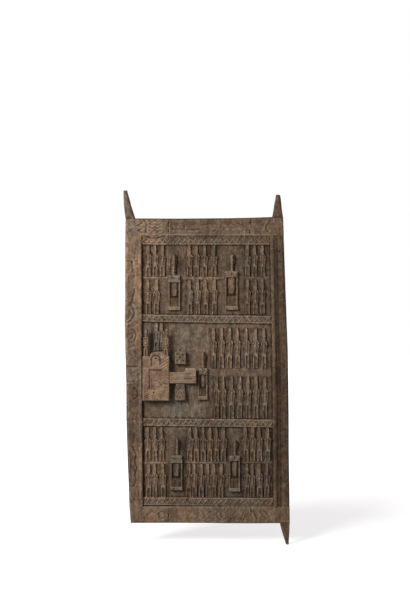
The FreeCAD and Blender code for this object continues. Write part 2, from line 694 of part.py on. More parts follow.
def lock_case():
    """The lock's wooden case: slots for the tumblers open at its back, a tunnel for the bolt."""
    body = new_body("lock_case")
    front = "(plank_thickness + case_depth)"
    hump = [(f"{CASE_CENTRE} - hump_width / 2", CASE_TOP), (f"{CASE_CENTRE} + hump_width / 2", CASE_TOP),
            (f"{CASE_CENTRE} + hump_width * 0.28", f"{CASE_TOP} + hump_height * 0.8"),
            (f"{CASE_CENTRE} + hump_width * 0.1", f"{CASE_TOP} + hump_height"),
            (f"{CASE_CENTRE} - hump_width * 0.1", f"{CASE_TOP} + hump_height"),
            (f"{CASE_CENTRE} - hump_width * 0.28", f"{CASE_TOP} + hump_height * 0.8")]
    outline = box_loop(CASE_LEFT, "case_foot", CASE_RIGHT, CASE_TOP)
    pad(body, "case_block", [outline[:3] + list(hump[1:]) + [hump[0], outline[3]]], "case_depth",
        "plank_thickness")
    for side, centre in (("left", f"({CASE_LEFT} + ear_width / 2)"),
                         ("right", f"({CASE_RIGHT} - ear_width / 2)")):
        ear = [(f"{centre} + ear_width * ({x})", f"{CASE_TOP} + ear_height * {z} - overrun")
               for x, z in ((-0.5, 0), (0.5, 0), (0.42, 0.3), (0.3, 0.42), (0.5, 0.5), (0.44, 0.6),
                            (0.2, 0.64), (0.28, 0.78), (0.06, 1.0), (-0.06, 1.0), (-0.28, 0.78),
                            (-0.2, 0.64), (-0.44, 0.6), (-0.5, 0.5), (-0.3, 0.42), (-0.42, 0.3))]
        pad(body, side + "_ear", [ear], "ear_depth", "plank_thickness + case_depth - ear_depth")
    tunnel = new_sketch(body, "bolt_tunnel_outline", "plank_thickness + bolt_back - slide_clearance")
    add_loop(tunnel, box_loop(f"({CASE_LEFT} - overrun)", f"({BOLT_FOOT} - slide_clearance)",
                              f"({CASE_RIGHT} + overrun)", f"({BOLT_TOP} + slide_clearance)"))
    pocket(body, "bolt_tunnel", tunnel, "bolt_thickness + 2 * slide_clearance", toward_front=True)
    slots = new_sketch(body, "tumbler_slots_outline", "plank_thickness")
    for pin in PINS:
        centre = f"({CASE_LEFT} + {pin})"
        neck = "(pin_width / 2 + fit_clearance)"
        head = "(pin_head_width / 2 + fit_clearance)"
        add_loop(slots, [(f"{centre} - {neck}", f"{BOLT_TOP}"), (f"{centre} + {neck}", f"{BOLT_TOP}"),
                         (f"{centre} + {neck}", PIN_LEDGE), (f"{centre} + {head}", PIN_LEDGE),
                         (f"{centre} + {head}", SLOT_TOP), (f"{centre} - {head}", SLOT_TOP),
                         (f"{centre} - {head}", PIN_LEDGE), (f"{centre} - {neck}", PIN_LEDGE)])
    pocket(body, "tumbler_slots", slots, "bolt_back + key_back + pin_depth + 2 * fit_clearance",
           toward_front=True)
    grooves = new_sketch(body, "case_grooves_outline", front)
    groove_x = f"({CASE_LEFT} + case_width * 0.26)"
    groove_top = f"({BOLT_TOP} + groove_width * 2)"
    add_loop(grooves, [(groove_x, f"({BOLT_FOOT} - groove_width * 2)"),
                       (f"{groove_x} + groove_width", f"({BOLT_FOOT} - groove_width * 2)"),
                       (f"{groove_x} + groove_width", f"{groove_top}"),
                       (f"{CASE_LEFT} + case_width * 0.73", groove_top),
                       (f"{CASE_LEFT} + case_width * 0.73", f"{groove_top} + groove_width"),
                       (groove_x, f"{groove_top} + groove_width")])
    pocket(body, "case_grooves", grooves, "groove_depth")
    spikes = new_sketch(body, "spike_bores_outline", front)
    for place in SPIKES:
        add_circle(spikes, place, "spike_radius + fit_clearance")
    pocket(body, "spike_bores", spikes, "case_depth + overrun")
    return body


def lock_bolt():
    """The sliding bolt: a stepped head, a key channel from its end and three tumbler sockets."""
    body = new_body("lock_bolt")
    level = "plank_thickness + bolt_back"
    outline = [(BOLT_LEFT, BOLT_FOOT), (BOLT_RIGHT, BOLT_FOOT), (BOLT_RIGHT, f"{BOLT_TOP} + head_rise"),
               (HEAD_LEFT, f"{BOLT_TOP} + head_rise"), (HEAD_LEFT, BOLT_TOP), (BOLT_LEFT, BOLT_TOP)]
    pad(body, "bolt_bar", [outline], "bolt_thickness", level)
    channel = new_sketch(body, "key_channel_outline", level + " + key_back")
    channel_end = f"({CASE_LEFT} + first_pin + {BOLT_TRAVEL} - pin_width * 1.5)"
    add_loop(channel, box_loop(channel_end, f"({KEY_TOP} - key_height)", f"({BOLT_RIGHT} + overrun)",
                               KEY_TOP))
    pocket(body, "key_channel", channel, "key_depth", toward_front=True)
    sockets = new_sketch(body, "tumbler_sockets_outline", level + " + key_back - fit_clearance")
    for pin in PINS:
        centre = f"({CASE_LEFT} + {pin} + {BOLT_TRAVEL})"
        half = "(pin_width / 2 + slide_clearance)"
        add_loop(sockets, box_loop(f"{centre} - {half}", f"({KEY_TOP} - fit_clearance)",
                                   f"{centre} + {half}", f"({BOLT_TOP} + overrun)"))
    pocket(body, "tumbler_sockets", sockets, "pin_depth + 2 * fit_clearance", toward_front=True)
    line = new_sketch(body, "head_line_outline", level + " + bolt_thickness")
    add_loop(line, box_loop(HEAD_LEFT, f"({BOLT_FOOT} + bolt_height * 0.42)",
                            f"({BOLT_RIGHT} - head_length * 0.2)",
                            f"({BOLT_FOOT} + bolt_height * 0.42 + groove_width / 2)"))
    pocket(body, "head_line", line, "groove_depth / 2")
    return body


def tumbler(number, pin):
    """A drop pin with a wider head that rests on the retracted bolt."""
    body = new_body(f"tumbler_{number}")
    centre = f"({CASE_LEFT} + {pin})"
    foot = f"({BOLT_TOP} + fit_clearance)"
    shank = "pin_width / 2"
    head = "pin_head_width / 2"
    outline = [(f"{centre} - {shank}", foot), (f"{centre} + {shank}", foot),
               (f"{centre} + {shank}", PIN_HEAD_FOOT), (f"{centre} + {head}", PIN_HEAD_FOOT),
               (f"{centre} + {head}", PIN_TOP), (f"{centre} - {head}", PIN_TOP),
               (f"{centre} - {head}", PIN_HEAD_FOOT), (f"{centre} - {shank}", PIN_HEAD_FOOT)]
    pad(body, f"tumbler_{number}_pin", [outline], "pin_depth",
        "plank_thickness + bolt_back + key_back")
    return body


def cylinder_group(label, places, radius, start, length):
    """Round pins of one size that point to the front, as one group."""
    pins = []
    for number, (along, up) in enumerate(places, start=1):
        pin = doc.addObject("Part::Cylinder", f"{label}_{number}")
        bind(pin, "Radius", radius)
        bind(pin, "Height", length)
        bind(pin, "Placement.Base.x", along)
        bind(pin, "Placement.Base.y", f"back_inset - ({start})")
        bind(pin, "Placement.Base.z", up)
        pin.Placement.Rotation = FreeCAD.Rotation(FreeCAD.Vector(1, 0, 0), 90)
        pins.append(pin)
    group = doc.addObject("Part::Compound", label)
    group.Label = label
    group.Links = pins
    return group


def peg_sockets(body, name, places, origin=("0", "0")):
    """Blind holes in the back of a carved piece, for its pegs."""
    sketch = new_sketch(body, name + "_circles", "plank_thickness")
    for along, up in places:
        add_circle(sketch, (f"{along} - {origin[0]}", f"{up} - {origin[1]}"),
                   "peg_radius + fit_clearance")
    pocket(body, name, sketch, "torso_depth * 0.7 + fit_clearance", toward_front=True)


def seated_figure(label):
    """A seated ancestor: head and neck, shoulder plate, arms round a window, torso, lap and base."""
    across_share, up_share, width_share, height_share, head_share, radius_share = SEATED_SHARES[label]
    body = new_body(label)
    place = seated_place(label)
    bind(body, "Placement.Base.x", place[0])
    bind(body, "Placement.Base.z", place[1])
    width = f"(door_width * {width_share})"
    height = f"(body_height * {height_share})"
    head = f"(body_height * {head_share})"
    radius = f"(door_width * {radius_share})"
    ground = "plank_thickness"
    inner = f"({width} / 2 - arm_width)"
    frame = [(f"-{width} / 2", "0"), (f"{width} / 2", "0"), (f"{width} / 2", height),
             (f"-{width} / 2", height)]
    window = box_loop(f"-{inner}", f"{height} * 0.13", inner, f"{height} * 0.80")
    pad(body, label + "_frame", [frame, window], "arm_depth", ground)
    shoulders = [(f"-{width} / 2", f"{height} * 0.79"), (f"{width} / 2", f"{height} * 0.79"),
                 (f"{width} / 2", f"{height} * 0.94"), (f"{width} * 0.28", f"{height} * 1.01"),
                 (f"-{width} * 0.28", f"{height} * 1.01"), (f"-{width} / 2", f"{height} * 0.94")]
    pad(body, label + "_shoulders", [shoulders], "plate_depth", ground)
    pad(body, label + "_base", [box_loop(f"-{width} / 2", "0", f"{width} / 2", f"{height} * 0.14")],
        "plate_depth * 0.9", ground)
    torso = [("0", f"{height} * 0.38"), ("torso_width / 2", f"{height} * 0.56"),
             ("torso_width * 0.42", f"{height} * 0.82"), ("-torso_width * 0.42", f"{height} * 0.82"),
             ("-torso_width / 2", f"{height} * 0.56")]
    pad(body, label + "_torso", [torso], "torso_depth", ground)
    lap = box_loop("-torso_width * 0.4", f"{height} * 0.12", "torso_width * 0.4", f"{height} * 0.25")
    pad(body, label + "_lap", [lap], "arm_depth", ground)
    profile = new_sketch(body, label + "_head_outline", f"plank_thickness + {radius}")
    add_loop(profile, [("0", f"{height} * 0.99"), (f"{radius} * 0.62", f"{height} * 0.99"),
                       (f"{radius} * 0.55", f"{height} + {head} * 0.24"),
                       (f"{radius} * 0.96", f"{height} + {head} * 0.34"),
                       (f"{radius}", f"{height} + {head} * 0.56"),
                       (f"{radius} * 0.72", f"{height} + {head} * 0.82"),
                       (f"{radius} * 0.25", f"{height} + {head}"), ("0", f"{height} + {head}")])
    turned = new_feature(body, "Revolution", label + "_head")
    turned.Profile = profile
    turned.ReferenceAxis = (profile, ["V_Axis"])
    turned.Angle = 360
    peg_sockets(body, label + "_peg_sockets", seated_pegs(label), place)
    return body


def guide_block(label, outline, pegs):
    """A block pegged to the plank beside the bolt's run, with a sunk panel in its face."""
    body = new_body(label)
    pad(body, label + "_block", [outline], "block_depth", "plank_thickness")
    peg_sockets(body, label + "_peg_sockets", pegs)
    face = new_sketch(body, label + "_panel_outline", "plank_thickness + block_depth")
    left, right = outline[0][0], outline[1][0]
    bottom, top = outline[0][1], outline[2][1]
    width, height = f"({right} - ({left}))", f"({top} - ({bottom}))"
    add_loop(face, box_loop(f"{left} + {width} * 0.25", f"{bottom} + {height} * 0.2",
                            f"{left} + {width} * 0.75", f"{bottom} + {height} * 0.6"))
    pocket(body, label + "_panel", face, "groove_depth / 2")
    return body


upper_block = box_loop(f"({BLOCK_CENTRE} - upper_block_width / 2)", UPPER_BLOCK_FOOT,
                       f"({BLOCK_CENTRE} + upper_block_width / 2)",
                       f"({UPPER_BLOCK_FOOT} + upper_block_height)")
lower_block = [(f"({BLOCK_CENTRE} - lower_block_foot / 2)", f"({LOWER_BLOCK_TOP} - lower_block_height)"),
               (f"({BLOCK_CENTRE} + lower_block_foot / 2)", f"({LOWER_BLOCK_TOP} - lower_block_height)"),
               (f"({BLOCK_CENTRE} + lower_block_top / 2)", LOWER_BLOCK_TOP),
               (f"({BLOCK_CENTRE} - lower_block_top / 2)", LOWER_BLOCK_TOP)]

parts = [left_plank(), middle_plank(), right_plank(),
         seam_staples("seam_staples_left", LEFT_SEAM), seam_staples("seam_staples_right", RIGHT_SEAM),
         lock_case(), lock_bolt()]
parts += [tumbler(number, pin) for number, pin in enumerate(PINS, start=1)]
parts.append(cylinder_group("lock_spikes", SPIKES, "spike_radius", "plank_thickness - spike_bury",
                            "spike_bury + case_depth - spike_recess"))
parts += [seated_figure(name) for name in SEATED_SHARES]
PEG_LENGTH = "peg_bury + torso_depth * 0.7"
parts.append(cylinder_group("figure_pegs", FIGURE_PEGS, "peg_radius", "plank_thickness - peg_bury",
                            PEG_LENGTH))
parts.append(guide_block("upper_guide_block", upper_block, BLOCK_PEGS[:2]))
parts.append(guide_block("lower_guide_block", lower_block, BLOCK_PEGS[2:]))
parts.append(cylinder_group("block_pegs", BLOCK_PEGS, "peg_radius", "plank_thickness - peg_bury",
                            PEG_LENGTH))

# Only the last step of each piece merges its split faces, which keeps the build quick.
for part in parts:
    if part.isDerivedFrom("PartDesign::Body"):
        part.Tip.Refine = True
doc.recompute()
for item in doc.Objects:
    if "Invalid" in item.State or "Error" in item.State:
        raise RuntimeError(f"{item.Label} failed: {item.State}")
for part in parts:
    if part.Shape.isNull() or not part.Shape.isValid():
        raise RuntimeError(f"{part.Label} has no valid shape")

os.makedirs("parts", exist_ok=True)
for part in parts:
    part.Shape.exportStep(f"parts/{part.Label}.step")
    print(part.Label, len(part.Shape.Solids), "solids", round(part.Shape.Volume), "mm3")
print("bolt travel", round(measure(BOLT_TRAVEL), 2), "mm, tumbler lift", measure("pin_lift"), "mm")
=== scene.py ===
import bpy
import bmesh
import json
import math
import numpy as np
from mathutils import Matrix, Vector


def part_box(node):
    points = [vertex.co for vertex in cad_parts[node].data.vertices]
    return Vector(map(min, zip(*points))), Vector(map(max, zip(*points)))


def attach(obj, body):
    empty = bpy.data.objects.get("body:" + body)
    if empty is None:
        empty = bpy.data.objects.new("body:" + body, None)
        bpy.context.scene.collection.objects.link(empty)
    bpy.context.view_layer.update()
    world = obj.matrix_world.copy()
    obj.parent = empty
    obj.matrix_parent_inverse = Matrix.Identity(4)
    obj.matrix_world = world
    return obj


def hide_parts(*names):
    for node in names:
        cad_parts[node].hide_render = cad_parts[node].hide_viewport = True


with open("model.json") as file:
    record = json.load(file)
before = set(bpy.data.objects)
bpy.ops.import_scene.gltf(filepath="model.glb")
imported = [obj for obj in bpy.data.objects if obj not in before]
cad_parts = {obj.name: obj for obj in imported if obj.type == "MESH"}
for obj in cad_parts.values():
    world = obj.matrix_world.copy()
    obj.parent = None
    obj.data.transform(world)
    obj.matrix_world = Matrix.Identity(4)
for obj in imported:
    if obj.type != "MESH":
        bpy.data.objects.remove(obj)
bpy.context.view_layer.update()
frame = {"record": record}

# The photograph's scale and the place of the lower pivot's tip in it, in pixels.
photo = {"metresPerPixel": 0.0046, "pivotAcross": 287.7, "pivotDown": 545.5, "width": 410, "height": 615}
pixel = photo["metresPerPixel"]
millimetres = 1000  # the noises' cells are in millimetres
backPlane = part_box("middle_plank")[1][1]


def acrossAt(place):
    return (place - photo["pivotAcross"]) * pixel


def upAt(place):
    return (photo["pivotDown"] - place) * pixel


def pixelAcross(x):
    return x / pixel + photo["pivotAcross"]


def pixelDown(z):
    return photo["pivotDown"] - z / pixel


def frontAt(depth):
    return backPlane - depth


# Shared helpers for carved surfaces

def smoothStep(low, high, value):  # 0 below low, 1 above high
    share = np.clip((value - low) / (high - low), 0.0, 1.0)
    return share * share * (3.0 - 2.0 * share)


def band(value, low, high, soft):  # 1 between low and high
    half = soft / 2
    return smoothStep(low - half, low + half, value) * (1.0 - smoothStep(high - half, high + half, value))


def blend(base, over, mask):  # base where the mask is 0, over where it is 1
    return base * (1 - mask) + over * mask


def bell(distance, width):  # 1 at no distance, near 0 beyond twice the width
    return np.exp(-(distance / width) ** 2)


def along(places, value):
    return np.interp(value, [place[0] for place in places], [place[1] for place in places])


def valueNoise(x, z, cellX, cellZ, seed):  # smooth noise from -1 to 1
    rng = np.random.default_rng(seed)
    lattice = rng.uniform(-1.0, 1.0, (64, 64))
    u, v = x / cellX, z / cellZ
    iu, iv = np.floor(u).astype(int), np.floor(v).astype(int)
    fu, fv = u - iu, v - iv
    fu, fv = fu * fu * (3 - 2 * fu), fv * fv * (3 - 2 * fv)
    a = lattice[iu % 64, iv % 64]
    b = lattice[(iu + 1) % 64, iv % 64]
    c = lattice[iu % 64, (iv + 1) % 64]
    d = lattice[(iu + 1) % 64, (iv + 1) % 64]
    return (a * (1 - fu) + b * fu) * (1 - fv) + (c * (1 - fu) + d * fu) * fv


def strokeDepth(p, q, points, width):  # how deep a gouge line is at each place, from 0 to 1
    depth = np.zeros_like(p)
    for (x0, y0), (x1, y1) in zip(points[:-1], points[1:]):
        near = np.where((p > min(x0, x1) - 3 * width) & (p < max(x0, x1) + 3 * width)
                        & (q > min(y0, y1) - 3 * width) & (q < max(y0, y1) + 3 * width))[0]
        if len(near) == 0:
            continue
        dx, dy = x1 - x0, y1 - y0
        length = max(dx * dx + dy * dy, 1e-9)
        share = np.clip(((p[near] - x0) * dx + (q[near] - y0) * dy) / length, 0.0, 1.0)
        gap = np.hypot(p[near] - x0 - share * dx, q[near] - y0 - share * dy)
        depth[near] = np.maximum(depth[near], bell(gap, width))
    return depth


def deepest(p, q, lines, width):  # the deepest of several gouge lines at each place
    depth = np.zeros_like(p)
    for line in lines:
        depth = np.maximum(depth, strokeDepth(p, q, line, width))
    return depth


def spot(p, q, x, y, size, power=2):  # a round pit, 1 in its middle
    return np.exp(-(np.hypot(p - x, q - y) / size) ** power)


def tmpObject(name, mesh):
    made = bpy.data.objects.new(name, mesh)
    bpy.context.scene.collection.objects.link(made)
    return made


def bake(made, *helpers):  # the mesh with its modifiers applied; the temporary objects go
    depsgraph = bpy.context.evaluated_depsgraph_get()
    mesh = bpy.data.meshes.new_from_object(made.evaluated_get(depsgraph))
    for item in (made, *helpers):
        old = item.data
        bpy.data.objects.remove(item)
        bpy.data.meshes.remove(old)
    return mesh


def meshFrom(bm, name):
    mesh = bpy.data.meshes.new(name)
    bm.to_mesh(mesh)
    bm.free()
    return mesh


def voxelForm(mesh, voxel, smoothing):  # melts the blocks of a carving into one skin
    made = tmpObject("form", mesh)
    remesh = made.modifiers.new("remesh", "REMESH")
    remesh.mode = "VOXEL"
    remesh.voxel_size = voxel
    smooth = made.modifiers.new("smooth", "SMOOTH")
    smooth.factor = 0.5
    smooth.iterations = smoothing
    return bake(made)


def cutAway(mesh, cutter):
    made = tmpObject("body", mesh)
    tool = tmpObject("cutter", meshFrom(cutter, "cutter"))
    boolean = made.modifiers.new("cut", "BOOLEAN")
    boolean.operation = "DIFFERENCE"
    boolean.solver = "EXACT"
    boolean.object = tool
    return bake(made, tool)


def block(bm, low, high):
    size = [h - l for l, h in zip(low, high)]
    middle = [(l + h) / 2 for l, h in zip(low, high)]
    matrix = Matrix.Translation(middle) @ Matrix.Diagonal((*size, 1.0))
    return bmesh.ops.create_cube(bm, size=1.0, matrix=matrix)["verts"]


def ball(bm, centre, radii):
    matrix = Matrix.Translation(centre) @ Matrix.Diagonal((*radii, 1.0))
    bmesh.ops.create_icosphere(bm, subdivisions=3, radius=1.0, matrix=matrix)


def limb(bm, start, end, startRadius, endRadius, flat=1.0):  # a tapered round bar between two points
    start, end = Vector(start), Vector(end)
    direction = end - start
    turn = direction.to_track_quat("Z", "Y").to_matrix().to_4x4()
    matrix = (Matrix.Translation((start + end) / 2) @ Matrix.Diagonal((1.0, flat, 1.0, 1.0)) @ turn)
    bmesh.ops.create_cone(bm, cap_ends=True, segments=16, radius1=startRadius, radius2=endRadius,
                          depth=direction.length, matrix=matrix)


# A bar with a ridge down its front: each end is a centre across, a height and a half width.
def ridged(bm, ends, ridge, front, back, full=0.45):
    middle = back + (front - back) * full
    profile = ((-1.0, back), (-0.86, middle), (ridge, front), (0.86, middle), (1.0, back))
    (centre, height, half), others = ends[0], ends[1:]
    ring = bmesh.ops.create_circle(bm, cap_ends=True, segments=5, radius=1.0)["verts"]
    for vert, (side, y) in zip(ring, profile):
        vert.co = (centre + half * side, y, height)
    face = ring[0].link_faces[0]
    for x, z, wide in others:
        made = bmesh.ops.extrude_face_region(bm, geom=[face])["geom"]
        face = next(item for item in made if isinstance(item, bmesh.types.BMFace))
        for vert in face.verts:
            vert.co = (x + (vert.co.x - centre) * wide / half, vert.co.y, z)
        centre, half = x, wide


def finishPiece(mesh, name, body, material, nodes=()):
    mesh.materials.clear()
    mesh.materials.append(material)
    mesh.polygons.foreach_set("use_smooth", [True] * len(mesh.polygons))
    mesh.name = name
    piece = tmpObject(name, mesh)
    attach(piece, body)
    if nodes:
        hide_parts(*nodes)
    return piece


def paint(mesh, name, values):  # a value for each point that the materials read
    layer = mesh.attributes.get(name) or mesh.attributes.new(name, "FLOAT", "POINT")
    layer.data.foreach_set("value", np.clip(values, 0.0, 1.0).astype(np.float32))


def points(mesh):
    co = np.empty(len(mesh.vertices) * 3)
    mesh.vertices.foreach_get("co", co)
    return co.reshape(-1, 3)


def pixelsOf(co):  # where points stand in the photograph
    return pixelAcross(co[:, 0]), pixelDown(co[:, 2])


def frontNormals(mesh):  # how far each point's normal looks away from the front
    normals = np.empty(len(mesh.vertices) * 3)
    mesh.vertices.foreach_get("normal", normals)
    return normals.reshape(-1, 3)[:, 1]


# Materials

def feed(socket, value):  # links another node's output, or sets a number, a vector or a colour
    if isinstance(value, bpy.types.NodeSocket):
        socket.id_data.links.new(value, socket)
    elif socket.type == "RGBA":
        socket.default_value = (*value, 1.0)
    else:
        socket.default_value = value


def node(tree, kind, inputs=None, output=0, **settings):  # makes a node and gives one of its outputs
    made = tree.nodes.new("ShaderNode" + kind)
    for name, value in settings.items():
        setattr(made, name, value)
    for socket, value in (inputs or {}).items():
        feed(made.inputs[socket], value)
    return made.outputs[output] if made.outputs else None


def mixColour(tree, mode, factor, first, second):
    return node(tree, "Mix", {0: factor, 6: first, 7: second}, 2, data_type="RGBA", blend_type=mode)


def ramp(tree, source, stops):
    made = node(tree, "ValToRGB", {0: source})
    elements = made.node.color_ramp.elements
    while len(elements) < len(stops):
        elements.new(0.5)
    for element, (place, value) in zip(elements, stops):
        element.position = place
        element.color = (*value, 1.0) if isinstance(value, tuple) else (value, value, value, 1.0)
    return made


def noiseTexture(tree, place, scale, detail, stretch):
    mapped = node(tree, "Mapping", {"Scale": stretch, "Vector": place})
    return node(tree, "TexNoise", {"Scale": scale, "Detail": detail, "Roughness": 0.6, "Vector": mapped})


def calculate(tree, operation, first, second):
    return node(tree, "Math", {0: first, 1: second}, operation=operation)


def bumpOf(tree, height, strength, distance, base=None):
    inputs = {"Strength": strength, "Distance": distance, "Height": height}
    return node(tree, "Bump", {**inputs, "Normal": base} if base else inputs)


def painted(tree, name):  # the value that paint gave each point
    return node(tree, "Attribute", output="Fac", attribute_name=name)


def raysOf(tree, kinds):  # 1 for rays of these kinds
    path = node(tree, "LightPath").node
    share = path.outputs[kinds[0]]
    for kind in kinds[1:]:
        share = calculate(tree, "MAXIMUM", share, path.outputs[kind])
    return share


def emptyMaterial(name):
    material = bpy.data.materials.new(name)
    material.use_nodes = True
    material.node_tree.nodes.clear()
    return material, material.node_tree


def surfaced(material, inputs):  # the material with a shader that has these inputs
    tree = material.node_tree
    node(tree, "OutputMaterial", {0: node(tree, "BsdfPrincipled", inputs)})
    return material


# The woods' textures: scale, detail and stretch.
patches = {"grey": (7.0, 4.0, (1, 1, 0.7)), "warm": (11.0, 5.0, (1.1, 1, 0.8)),
           "mottle": (62.0, 6.0, (1, 1, 0.8)), "speck": (190.0, 5.0, (1, 1, 0.8))}
patchStops = [(0.40, 0.15), (0.62, 1.0)]
toneRange = {"darkest": 0.35, "gain": 1.7}


# Weathered carved wood: grain along the piece, painted shade in the recesses, rubbed light ridges. The
# points' own
# "tone" says how light and "warmth" how brown a place is; their wear value says how rubbed it is and, where
# low, how much shade is painted in.
def agedWood(name, look):
    material, tree = emptyMaterial(name)
    coords = node(tree, "TexCoord", output="Object")
    streak = noiseTexture(tree, coords, look["grain"], 6.0, look["grainStretch"])
    fine = noiseTexture(tree, coords, look["grain"] * 5, 5.0, look["grainStretch"])
    greyPatch, warmPatch, mottle, speck = (noiseTexture(tree, coords, *patch) for patch in patches.values())
    warmth = painted(tree, "warmth") if look["carved"] else 0.5
    warmShare = calculate(tree, "MULTIPLY", ramp(tree, warmPatch, patchStops), warmth)
    greyShare = calculate(tree, "MULTIPLY", ramp(tree, greyPatch, patchStops),
                          calculate(tree, "SUBTRACT", 1.0, warmth))
    grainShare = ramp(tree, streak, [(0.28, 0.0), (0.70, 1.0)])
    colour = mixColour(tree, "MIX", grainShare, look["dark"], look["mid"])
    colour = mixColour(tree, "MIX", warmShare, colour, look["warm"])
    colour = mixColour(tree, "MIX", greyShare, colour, look["grey"])
    for share, texture, stops in ((0.70, mottle, [(0.34, 0.58), (0.60, 1.0)]),
                                  (0.50, fine, [(0.36, 0.60), (0.62, 1.0)]),
                                  (0.60, speck, [(0.36, 0.55), (0.55, 1.0)])):
        colour = mixColour(tree, "MULTIPLY", share, colour, ramp(tree, texture, stops))
    if look["carved"]:
        spread = calculate(tree, "MULTIPLY", calculate(tree, "SUBTRACT", mottle, 0.5), 0.9)
        worn = calculate(tree, "ADD", painted(tree, "wearAndShade"), spread)
        # Low worn values take the recess colour, which is painted shade. High ones take the light colour of
        # rubbed wood, which also serves for painted highlights on lit sides and top edges.
        for key, stops in (("light", [(0.50, 0.0), (0.95, 1.0)]), ("recessShade", [(0.05, 0.9), (0.42, 0.0)])):
            colour = mixColour(tree, "MIX", ramp(tree, worn, stops), colour, look[key])
        level = calculate(tree, "MULTIPLY", painted(tree, "tone"), toneRange["gain"])
        level = calculate(tree, "ADD", level, toneRange["darkest"])
        colour = node(tree, "VectorMath", {0: colour, "Scale": level}, operation="SCALE")
    grainBump = bumpOf(tree, fine, 0.6, look["bump"])
    knifeBump = bumpOf(tree, mottle, 0.6, look["bump"] * 3.0, grainBump)
    return surfaced(material, {
        "Base Color": colour, "Specular IOR Level": look["shine"],
        "Roughness": ramp(tree, mottle, [(0.3, look["rough"] - 0.1), (0.7, look["rough"] + 0.08)]),
        "Normal": bumpOf(tree, speck, 0.4, look["bump"] * 0.7, knifeBump)})


def ironFinish():  # hand-forged iron, rusted all over
    material, tree = emptyMaterial("rustedIron")
    rust = noiseTexture(tree, node(tree, "TexCoord", output="Object"), 220.0, 6.0, (1, 1, 1))
    return surfaced(material, {
        "Base Color": ramp(tree, rust, [(0.35, (0.028, 0.022, 0.019)), (0.7, (0.13, 0.055, 0.028))]),
        "Metallic": 0.55, "Roughness": ramp(tree, rust, [(0.3, 0.5), (0.7, 0.85)]),
        "Normal": bumpOf(tree, rust, 0.6, 0.0006)})


upright, sideways = (1.0, 1.0, 0.08), (0.09, 1.0, 1.0)
woodLooks = {
    "plankWood": {"dark": (0.095, 0.058, 0.037), "mid": (0.205, 0.14, 0.093), "warm": (0.272, 0.157, 0.092),
        "grey": (0.174, 0.147, 0.115), "light": (0.33, 0.25, 0.178), "recessShade": (0.04, 0.021, 0.011),
        "grain": 30, "grainStretch": upright, "rough": 0.82, "shine": 0.07, "bump": 0.0012, "carved": True},
    "figureWood": {"dark": (0.09, 0.056, 0.036), "mid": (0.19, 0.133, 0.09), "warm": (0.245, 0.15, 0.085),
        "grey": (0.17, 0.138, 0.108), "light": (0.32, 0.245, 0.176), "recessShade": (0.04, 0.021, 0.011),
        "grain": 50, "grainStretch": upright, "rough": 0.8, "shine": 0.08, "bump": 0.0008, "carved": True},
    "lockWood": {"dark": (0.15, 0.09, 0.056), "mid": (0.262, 0.168, 0.108), "warm": (0.33, 0.2, 0.105),
        "grey": (0.285, 0.178, 0.125), "light": (0.4, 0.29, 0.195), "recessShade": (0.062, 0.033, 0.018),
        "grain": 40, "grainStretch": upright, "rough": 0.76, "shine": 0.12, "bump": 0.0008, "carved": True},
    "boltWood": {"dark": (0.18, 0.118, 0.076), "mid": (0.285, 0.2, 0.136), "warm": (0.32, 0.205, 0.12),
        "grey": (0.26, 0.205, 0.155), "light": (0.4, 0.305, 0.215), "recessShade": (0.07, 0.042, 0.026),
        "grain": 34, "grainStretch": sideways, "rough": 0.72, "shine": 0.14, "bump": 0.0005,
        "carved": True},
    "pegWood": {"dark": (0.11, 0.075, 0.05), "mid": (0.2, 0.14, 0.095), "warm": (0.24, 0.15, 0.09),
        "grey": (0.15, 0.125, 0.1), "light": (0.3, 0.235, 0.175), "recessShade": (0.04, 0.025, 0.017),
        "grain": 90, "grainStretch": upright, "rough": 0.72, "shine": 0.25, "bump": 0.0004,
        "carved": False},
}
woods = {name: agedWood(name, look) for name, look in woodLooks.items()}
rustedIron = ironFinish()
print("materials made")

# The carved planks. Places are in the photograph's pixels, depths in metres from the back.

door = {
    "leftEdge": [(216, 125.7), (222, 125.5), (243, 125.2), (300, 125.2), (320, 124.9), (366, 125.7),
                 (384, 126.2), (420, 126.4), (463, 127.7), (488, 128.8), (505, 129.3), (523, 130.7)],
    "rightEdge": [(216, 283.2), (243, 284.2), (300, 286.2), (320, 286.9), (350, 288.0), (385, 288.6),
                  (415, 289.0), (450, 289.1), (490, 289.6), (524, 289.8)],
    "topEdge": [(125, 218.5), (135, 218.3), (180, 218.5), (230, 218.1), (255, 217.5), (272, 216.9),
                (284, 216.8)],
    "bottomEdge": [(130, 523.1), (170, 523.0), (205, 523.1), (228, 523.4), (250, 523.5), (290, 523.3)],
    "leftSeam": 168.5, "rightSeam": 251.2, "seamGap": 0.04,
    "rimOuterLeft": [(237, 138.0), (345, 138.6), (505, 139.7)],
    "rimInnerLeft": [(237, 141.3), (345, 141.8), (505, 142.9)],
    "rimInnerRight": [(237, 270.2), (325, 272.0), (400, 273.3), (505, 273.9)],
    "rimOuterRight": [(237, 273.6), (325, 275.3), (400, 276.9), (505, 277.3)],
    "postSide": [(237, 276.2), (325, 277.9), (400, 279.7), (505, 280.3)],
    "lintelFoot": 235.9, "sillTop": 506.4,
    "ground": 0.0275, "border": 0.0415, "rim": 0.0442, "rail": 0.0370, "post": 0.0405, "groove": 0.0380,
    "ledge": 0.0297, "highest": 0.0459, "cell": 0.0025, "backEvery": 4, "sideSteps": 4,
    "leafTop": 218.3, "leafFoot": 523.3, "panelLeft": 141, "panelRight": 273,
    "postRound": 0.0115, "edgeWear": 0.0042,
    # Where the plain board under the lock lies, and where each part fades into the next.
    "plainAcross": (143, 211), "plainDown": (325, 430), "stileEnd": (141.4, 142.4),
    "postStart": (273.5, 276.5), "lintelEnd": (235.5, 237.2), "sillStart": (506, 509),
}
